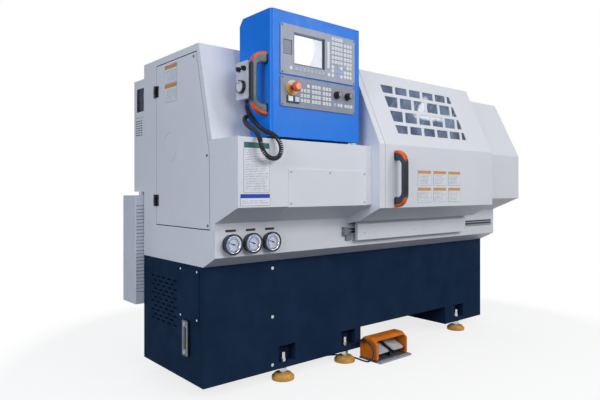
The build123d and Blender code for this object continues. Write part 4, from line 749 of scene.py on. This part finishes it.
def rounded(plane, rect, base, rise, corner=2.0, crown=0.0, steps=4):
    """Verts and faces of a thin plate with rounded corners and an eased outer edge."""
    a0, h0, a1, h1 = rect
    ease = min(0.4, rise * 0.5)
    verts, faces = skin([
        [spot_on(plane, x, z, base - lift) for x, z in round_rect(*rect, corner, inset, steps)]
        for inset, lift in ((0, 0), (0, rise - ease), (ease, rise))
    ])
    top = faces.pop()
    faces += [(i, j, len(verts)) for i, j in zip(top, top[1:] + top[:1])]
    verts.append(spot_on(plane, (a0 + a1) / 2, (h0 + h1) / 2, base - rise - crown))
    return verts, faces


def moved(rect, across, up):
    a0, h0, a1, h1 = rect
    return a0 + across, h0 + up, a1 + across, h1 + up


OUT = Vector((0, -1, 0))
SIDE = Vector((-1, 0, 0))


def flat(centre, edge, low, high):
    """Verts and faces of a flat outline that stands on the machine's front."""
    return skin([[centre + (OUT * out + e) / 1000 for e in edge] for out in (low, high)])


def spokes(degrees):
    """Directions along and across a line on the front, at an angle from the machine's length."""
    turn = math.radians(degrees)
    return Vector((math.cos(turn), 0, math.sin(turn))), Vector((-math.sin(turn), 0, math.cos(turn)))


def bow(place, height, reach):
    """Verts and faces of a curved handle. place(out, along, across) gives a point in metres."""
    out, foot = reach - GRIP / 2, (height - FOOT) / 2
    half = [(0.3, foot, 0, 1, FOOT), (6, foot, 0, 1, FOOT)]
    for k in range(15):
        a = math.radians(90 * k / 14)
        nu, nv = math.sin(a) * BEND_UP, math.cos(a) * (out - BEND_OUT)
        size = math.hypot(nu, nv)
        half.append((BEND_OUT + (out - BEND_OUT) * math.sin(a), foot - BEND_UP + BEND_UP * math.cos(a),
                     nu / size, nv / size, FOOT + (GRIP - FOOT) * smooth_step(k / 14)))
    half.append((out, 20, 1, 0, GRIP))
    path = half + [(u, -v, nu, -nv, thick) for u, v, nu, nv, thick in half[::-1]]
    loops = []
    for u, v, nu, nv, thick in path:
        section = round_rect(-thick / 2, -WIDE / 2, thick / 2, WIDE / 2, 9, 0, 5)
        loops.append([place(u + nu * x, v + nv * x, y) for x, y in section])
    return skin(loops)


piece("door_bow_handle", *bow(lambda u, v, w: at(809 + w, DOOR - u, 878 + v), 252, 63),
      "sliding_door", door_grip, "grip_plastic", True, ("door_handle",))
piece("pendant_bow_handle", *bow(lambda u, v, w: at(161 - u, -193 + w, 1233 + v), 242, 75),
      "pendant", pendant_grip, "grip_plastic", True, ("pendant_handle",))

# printed plates on the sheet metal
piece("data_plate", *rounded("front", DATA_SHEET, HOUSING - 0.1, 0.8), "machine",
      sheet_print, "white_paint")
piece("lubrication_plate", *rounded("front", OIL_SHEET, HOUSING - 0.1, 0.6), "machine",
      blue_print, "white_paint")
piece("drive_plates", *merged([
    rounded("end", moved(DRIVE_SHEET, 0, DRIVE_STEP * k), -0.1, 0.6) for k in range(2)
]), "end_door", end_print, "white_paint")
piece("operating_plates", *merged([
    rounded("front", moved(DOOR_SHEET, DOOR_STEP[0] * i, DOOR_STEP[1] * k), DOOR - 0.1, 0.6)
    for i in range(3) for k in range(2)
]), "sliding_door", door_print, "white_paint")
piece("gauge_tags", *merged([
    rounded("front", (a, 665.5, b, 675), GAUGE_BOARD - 0.1, 1.0, 1.0)
    for a, b in ((46, 93), (139.5, 185.5), (233.5, 279.5))
]), "machine", black_plastic, "black_plastic")

# pressure gauges: bright inner ring, dial, needle
bezel_steel = metal("bezel_steel", (0.6, 0.63, 0.7), 0.2)
BEZEL = [(0.3, 34.2), (4.6, 34.2), (4.9, 33.2), (4.2, 31.6), (1.6, 27.6), (0.3, 27.6)]
DIAL = [(0.3, 27.9), (0.9, 27.9), (1.1, 20), (1.2, 10), (1.2, 0.01)]
HUB = [(1.2, 3.4), (2.4, 3.4), (3.0, 2.6), (3.2, 0.01)]
NEEDLE = [(-9, 1.9), (-7, 2.2), (0, 1.6), (9, 1.7), (19.5, 0.35)]
ahead, across = spokes(160)
needle = [ahead * r + across * w for r, w in NEEDLE] + [ahead * r - across * w for r, w in NEEDLE[::-1]]
gauges = [at(station, GAUGE_BOARD - 20, GAUGE_HEIGHT) for station in GAUGES]

p = Paint("gauge_dial")
local = p.minus(p.math("MODULO", p.minus(p.station, 22), 94), 47)
high = p.minus(p.height, GAUGE_HEIGHT)
radius = p.far(local, high)
turn = p.math("ARCTAN2", high, local)
tone = p.cloudy(30, 3, (0.56, 0.62, 0.78), (0.64, 0.7, 0.85))
open_end = p.above(p.plus(high, p.times(radius, 0.72)), 0, 1)
tone = p.mix(p.both(p.span(radius, 19.4, 24.6, 0.6), open_end), tone, (0.09, 0.19, 0.42))
tick = p.math("FRACT", p.math("MULTIPLY_ADD", turn, 40 / math.tau, 40.5))
fine = p.both(p.span(tick, 0.38, 0.62, 0.06), p.span(radius, 24.8, 27), open_end)
tone = p.mix(fine, tone, (0.05, 0.07, 0.14))
broad = p.math("FRACT", p.math("MULTIPLY_ADD", turn, 8 / math.tau, 8.5))
gaps = p.both(p.span(broad, 0.46, 0.54, 0.02), p.span(radius, 20.4, 23.6), open_end)
tone = p.mix(gaps, tone, (0.72, 0.76, 0.86))
arc = p.both(p.span(radius, 14.6, 17.6, 0.4), p.above(local, 1), p.below(p.math("ABSOLUTE", turn), 1.1, 0.05))
tone = p.mix(arc, tone, (0.75, 0.27, 0.06))
lower = p.far(local, p.plus(high, 12))
tone = p.mix(p.span(lower, 3.2, 4.2), tone, (0.2, 0.25, 0.38))
dial_paint = p.finish(tone, p.vary(40, 2, 0.3, 0.38), Coat_Weight=0.8, Coat_Roughness=0.04)
piece("gauge_bezels", *merged([ring(BEZEL, g, OUT) for g in gauges]), "machine",
      bezel_steel, "bright_steel", True)
piece("gauge_dials", *merged([turned(DIAL, g, OUT) for g in gauges]), "machine",
      dial_paint, "white_paint", True)
piece("gauge_needles", *merged([flat(g, needle, 1.5, 2.2) for g in gauges]), "machine",
      black_plastic, "black_plastic")
piece("gauge_hubs", *merged([turned(HUB, g, OUT, 24) for g in gauges]), "machine",
      black_plastic, "black_plastic", True)

# screen behind the control unit's frame
p = Paint("screen_sheet")
tone = p.cloudy(12, 4, (0.46, 0.5, 0.6), (0.54, 0.58, 0.68))
# painted reflection: the screen is near white within 125 mm of station 255, height 1400, over its left part
tone = p.mix(p.below(p.reach((255, 1400)), 125, 4), tone, (0.9, 0.91, 0.93))
screen = p.finish(tone, p.vary(30, 2, 0.16, 0.24), Coat_Weight=0.5, Coat_Roughness=0.05)
p = Paint("screen_frame")
tone = p.cloudy(35, 3, (0.2, 0.225, 0.28), (0.25, 0.275, 0.34))
tone = p.mix(p.above(p.station, 423), tone, (0.03, 0.035, 0.05))
screen_frame = p.finish(tone, p.vary(60, 2, 0.36, 0.46), bump=0.2, bump_scale=GRAIN)
piece("screen_glass", *rounded("front", (273, 1323, 425, 1436), -221.2, 1.6, 5), "pendant",
      screen, "window_sheet")
lip = [
    [at(a, out, h) for a, h in ((267 + inset, 1317 + inset), (431 - inset, 1317 + inset),
                                (431 - inset, 1442 - inset), (267 + inset, 1442 - inset))]
    for inset, out in ((0.6, -221.1), (0.6, -228.6), (3.0, -229.4), (6.5, -226.6), (7.5, -221.1))
]
piece("screen_surround", *closed(lip), "pendant", screen_frame, "black_plastic")
piece("card_cover", *rounded("front", (219, 1354, 257, 1406), -227.1, 1.8, 3), "pendant",
      plastic("card_cover_plastic", (0.2, 0.225, 0.28), 0.4), "panel_grey")

SCREW = [(0.1, 3.4), (0.9, 3.4), (1.4, 2.7), (1.4, 1.5), (0.8, 1.3), (0.8, 0.01)]
piece("panel_screws", *merged([
    turned(SCREW, at(x, PANEL, h), OUT, 20)
    for low, high in ((1275, 1469), (1150, 1268)) for x in (211, 599) for h in (low + 7, high - 7)
]), "pendant", dark_steel, "bright_steel", True)


# key legends
def legend(left, low, right, high, corner=0.5):
    return rounded("front", (left, low, right, high), PANEL - 1.25, 0.12, corner, 0, 2)


legends = []
for x in [476 + 16.4 * i for i in range(4)] + [546.5 + 16.4 * i for i in range(3)]:
    for h in (1453, 1434, 1415, 1396, 1377, 1358):
        if x < 540 or h < 1453:
            legends.append(legend(x - 2.4, h - 0.5, x + 1.4, h + 3.4))
            legends.append(legend(x + 1.5, h - 4.2, x + 4.2, h - 2.4, 0.4))
for x in (308, 325, 342):
    legends += [legend(x - 2.6, h - 1.4, x + 2.6, h + 1.8) for h in (1220, 1200, 1180)]
for x in [first + 16.6 * i for first in (367.8, 426) for i in range(3)]:
    legends += [legend(x - 2.4, h - 1.6, x + 2.4, h + 2) for h in (1240, 1220, 1200, 1180)]
piece("key_legends", *merged(legends), "pendant",
      plastic("legend_ink", (0.42, 0.47, 0.58), 0.5), "black_plastic")

# knob scales: a ring of short marks round each override knob, every fifth one longer
marks = []
for x in KNOBS:
    for k in range(11):
        ahead, across = spokes(210 - 24 * k)
        inner, outer = ahead * 18, ahead * (20.5 if k % 5 else 22)
        half = across * 0.45
        edge = [inner - half, outer - half, outer + half, inner + half]
        marks.append(flat(at(x, PANEL - 0.1, KNOB_HEIGHT), edge, 0, 0.15))
piece("knob_marks", *merged(marks), "pendant", white_plastic, "button_white")

# end door: quarter-turn latches with key slots
LATCH = [(0.1, 5.6), (1.6, 5.6), (2.4, 4.8), (2.4, 3.8), (1.5, 3.5), (1.5, 0.01)]
KEY = ((-3.1, -0.8), (3.1, -0.8), (3.1, 0.8), (-3.1, 0.8))
latches = [at(0, depth, height) for depth, height in ((75, 1363), (-29, 961), (-35, 690))]
piece("door_latches", *merged([turned(LATCH, spot, SIDE, 28) for spot in latches]), "end_door",
      dark_steel, "black_metal", True)
piece("latch_keys", *merged([
    skin([[spot + Vector((-x, y, z)) / 1000 for y, z in KEY] for x in (1.5, 2.5)]) for spot in latches
]), "end_door", bright_steel, "bright_steel")

# foot switch: a rounded hood with a wide mouth, and two broad pedals
def prism(outline, low, high):
    """Verts and faces of an outline of (depth, height) between two stations."""
    return skin([[at(s, d, h) for d, h in outline] for s in (low, high)])


def solid(name, verts, faces, bevel):
    """An object with every edge rounded, by a bevel in mm."""
    mesh = bpy.data.meshes.new(name)
    mesh.from_pydata([tuple(v) for v in verts], [], faces)
    work = bmesh.new()
    work.from_mesh(mesh)
    bmesh.ops.recalc_face_normals(work, faces=work.faces)
    bmesh.ops.bevel(work, geom=list(work.edges), offset=bevel / 1000, segments=4, affect="EDGES", profile=0.5)
    work.to_mesh(mesh)
    work.free()
    return linked(name, mesh)


HOOD = [(-117, 9), (-3, 9), (-3, 88), (-31, 112), (-84, 112), (-117, 88)]
HOLLOW = [(-110, 4), (-9, 4), (-9, 85), (-33, 106), (-82, 106), (-110, 85.5)]
MOUTH = [(-130, -6), (-95, -6), (-95, 98), (-130, 98)]
hood = solid("hood", *prism(HOOD, 873, 1105), 7)
for outline, low, high, bevel in ((HOLLOW, 881, 1097, 3), (MOUTH, 887, 1091, 6)):
    cutter = solid("cutter", *prism(outline, low, high), bevel)
    cut = hood.modifiers.new("cut", "BOOLEAN")
    cut.operation = "DIFFERENCE"
    cut.solver = "EXACT"
    cut.object = cutter
    shaped = bpy.data.meshes.new_from_object(hood.evaluated_get(bpy.context.evaluated_depsgraph_get()))
    hood.modifiers.clear()
    hood.data = shaped
    bpy.data.objects.remove(cutter)
hood_verts = [v.co.copy() for v in hood.data.vertices]
hood_faces = [tuple(f.vertices) for f in hood.data.polygons]
bpy.data.objects.remove(hood)
piece("pedal_hood", hood_verts, hood_faces, "machine", guard_paint, "guard_orange", False, ("pedal_guard",))
piece("hood_gland", *turned([(0, 7.5), (14, 7.5)], at(873.5, -40, 94), SIDE, 28), "machine",
      black_plastic, "black_plastic", True)
BRACKET = [(-104, 9.2), (-20, 9.2), (-20, 74), (-48, 74), (-104, 30)]
piece("pedal_bracket", *prism(BRACKET, 986, 992), "machine", dark_steel, "black_metal")

# pedals: a tread with ribs, the roller behind it and its pin; run points down the tread, rise out of it
run, rise = Vector((0, -0.941, -0.339)), Vector((0, -0.339, 0.941))
tread = round_rect(-41, -12, 41, 78, 11)
for side, middle in (("left", 933), ("right", 1045)):
    pivot = at(middle, -37, 66)

    def on_pedal(x, y, lift):
        return pivot + (Vector((x, 0, 0)) + run * y + rise * lift) / 1000

    parts = [skin([
        [on_pedal(x * inset, 33 + (y - 33) * inset, lift) for x, y in tread]
        for inset, lift in ((0.97, -6), (1, -5), (1, -1), (0.975, 0.2))
    ])]
    for y in range(22, 76, 9):
        parts.append(skin([
            [on_pedal(-34, y - half, lift), on_pedal(34, y - half, lift),
             on_pedal(34, y + half, lift), on_pedal(-34, y + half, lift)]
            for lift, half in ((0.1, 2.0), (1.6, 1.2))
        ]))
    parts.append(turned([(-36, 8), (-35, 9), (35, 9), (36, 8)], at(middle, -37, 57), (1, 0, 0), 28))
    parts.append(turned([(-54, 3.9), (54, 3.9)], at(middle, -37, 58), (1, 0, 0), 20))
    piece(f"{side}_pedal_plate", *merged(parts), f"{side}_pedal",
          pedal_metal, "pedal_grey", False, (f"{side}_pedal",))

# strain reliefs where the cords leave their housings
BOOT = [(0.2, 9), (3, 9), (4, 7.6), (6, 7.6), (6.6, 6.6), (8.6, 7.0), (9.2, 5.8), (11.2, 6.2), (11.8, 5.0),
        (13.6, 5.2), (14.4, 3.6), (15, 2.5)]
NUT = [(0.3, 10.5), (0.8, 11.4), (6.4, 11.4), (7, 10.5)]
SLEEVE = [(0, 7.4), (6, 7.4), (8, 6.6), (14, 6.2), (20, 5.0), (24, 4.2)]
piece("coil_boots", *merged([
    turned(BOOT, at(*coil_route[0]), (0, 0, -1), 28), turned(BOOT, at(*coil_route[-1]), SIDE, 28)
]), "pendant", black_plastic, "belt_rubber", True)
for name, start, axis in (("switch", at(*cable_route[0]), SIDE), ("pedestal", at(*cable_route[-1]), -SIDE)):
    piece(f"{name}_cable_nut", *turned(NUT, start - axis * 0.0105, axis, 6), "machine",
          black_plastic, "black_plastic")
    piece(f"{name}_cable_sleeve", *turned(SLEEVE, start, axis, 24), "machine",
          cord_rubber, "belt_rubber", True)

# ---------------------------------------------------------------- floor, light, world
floor_mesh = bpy.data.meshes.new("floor")
floor_mesh.from_pydata([(-30, -30, 0), (30, -30, 0), (30, 30, 0), (-30, 30, 0)], [], [(0, 1, 2, 3)])
floor = linked("floor", floor_mesh)
floor_paint = bpy.data.materials.new("floor")
floor_paint.use_nodes = True
# Seen directly the floor is white, with faint shadows that fade out from 0.9 m to 1.9 m away.
# To light that bounces it is dark, so little comes up from it.
tree = floor_paint.node_tree
shader = tree.nodes["Principled BSDF"]
shader.inputs["Roughness"].default_value = 0.8
glow = step(tree, "ShaderNodeEmission")
ray = step(tree, "ShaderNodeLightPath").outputs
bounce = mixed(tree, ray["Is Diffuse Ray"], (0.96, 0.96, 0.97), (0.13, 0.14, 0.17))
put(tree, shader.inputs["Base Color"], bounce)
place = step(tree, "ShaderNodeTexCoord").outputs["Object"]
distance = step(tree, "ShaderNodeVectorMath", place, operation="LENGTH").outputs["Value"]
fade = step(tree, "ShaderNodeMapRange", distance, 0.9, 1.9, interpolation_type="SMOOTHSTEP").outputs[0]
seen = largest(tree, ray["Is Camera Ray"], ray["Is Glossy Ray"], ray["Is Transmission Ray"])
share = step(tree, "ShaderNodeMath", seen, largest(tree, fade, 0.78), operation="MULTIPLY").outputs[0]
blend = step(tree, "ShaderNodeMixShader", share, shader.outputs[0], glow.outputs[0])
put(tree, tree.nodes["Material Output"].inputs[0], blend.outputs[0])
floor_mesh.materials.append(floor_paint)

# a bluish sky as light, plain white where the camera sees it
world = bpy.data.worlds.new("world")
bpy.context.scene.world = world
world.use_nodes = True
tree = world.node_tree
ambient = tree.nodes["Background"]
ambient.inputs[0].default_value = (0.88, 0.93, 1.0, 1)
ambient.inputs[1].default_value = 0.29
plain = step(tree, "ShaderNodeBackground", (1, 1, 1, 1))
ray = step(tree, "ShaderNodeLightPath").outputs
seen = largest(tree, ray["Is Camera Ray"], ray["Is Transmission Ray"])
blend = step(tree, "ShaderNodeMixShader", seen, ambient.outputs[0], plain.outputs[0])
put(tree, tree.nodes["World Output"].inputs[0], blend.outputs[0])


def lamp(name, spot, target, size, power, colour=(1, 1, 1)):
    light = bpy.data.lights.new(name, "AREA")
    light.shape = "RECTANGLE"
    light.size, light.size_y = size
    light.energy = power
    light.color = colour
    obj = linked(name, light)
    obj.location = spot
    obj.rotation_euler = aim(Vector(target) - Vector(spot))


lamp("key", (-0.1, -4.4, 2.8), (0.1, 0, 0.8), (2.4, 1.8), 86, (1, 0.99, 0.97))
lamp("fill", (2.6, -4.4, 2.6), (-0.5, -0.4, 1.3), (1.3, 1.8), 46, (1, 0.99, 0.97))
lamp("top", (0.2, -0.6, 4.4), (0, 0, 0.8), (3.5, 3.0), 28)
lamp("left", (-4.0, -1.5, 2.1), (-0.8, -0.1, 0.9), (2.0, 2.0), 70, (0.84, 0.9, 1.0))
lamp("back", (0.5, 4.2, 2.8), (0, 0, 0.8), (3.0, 2.0), 40)

bpy.context.scene.view_settings.view_transform = "Standard"
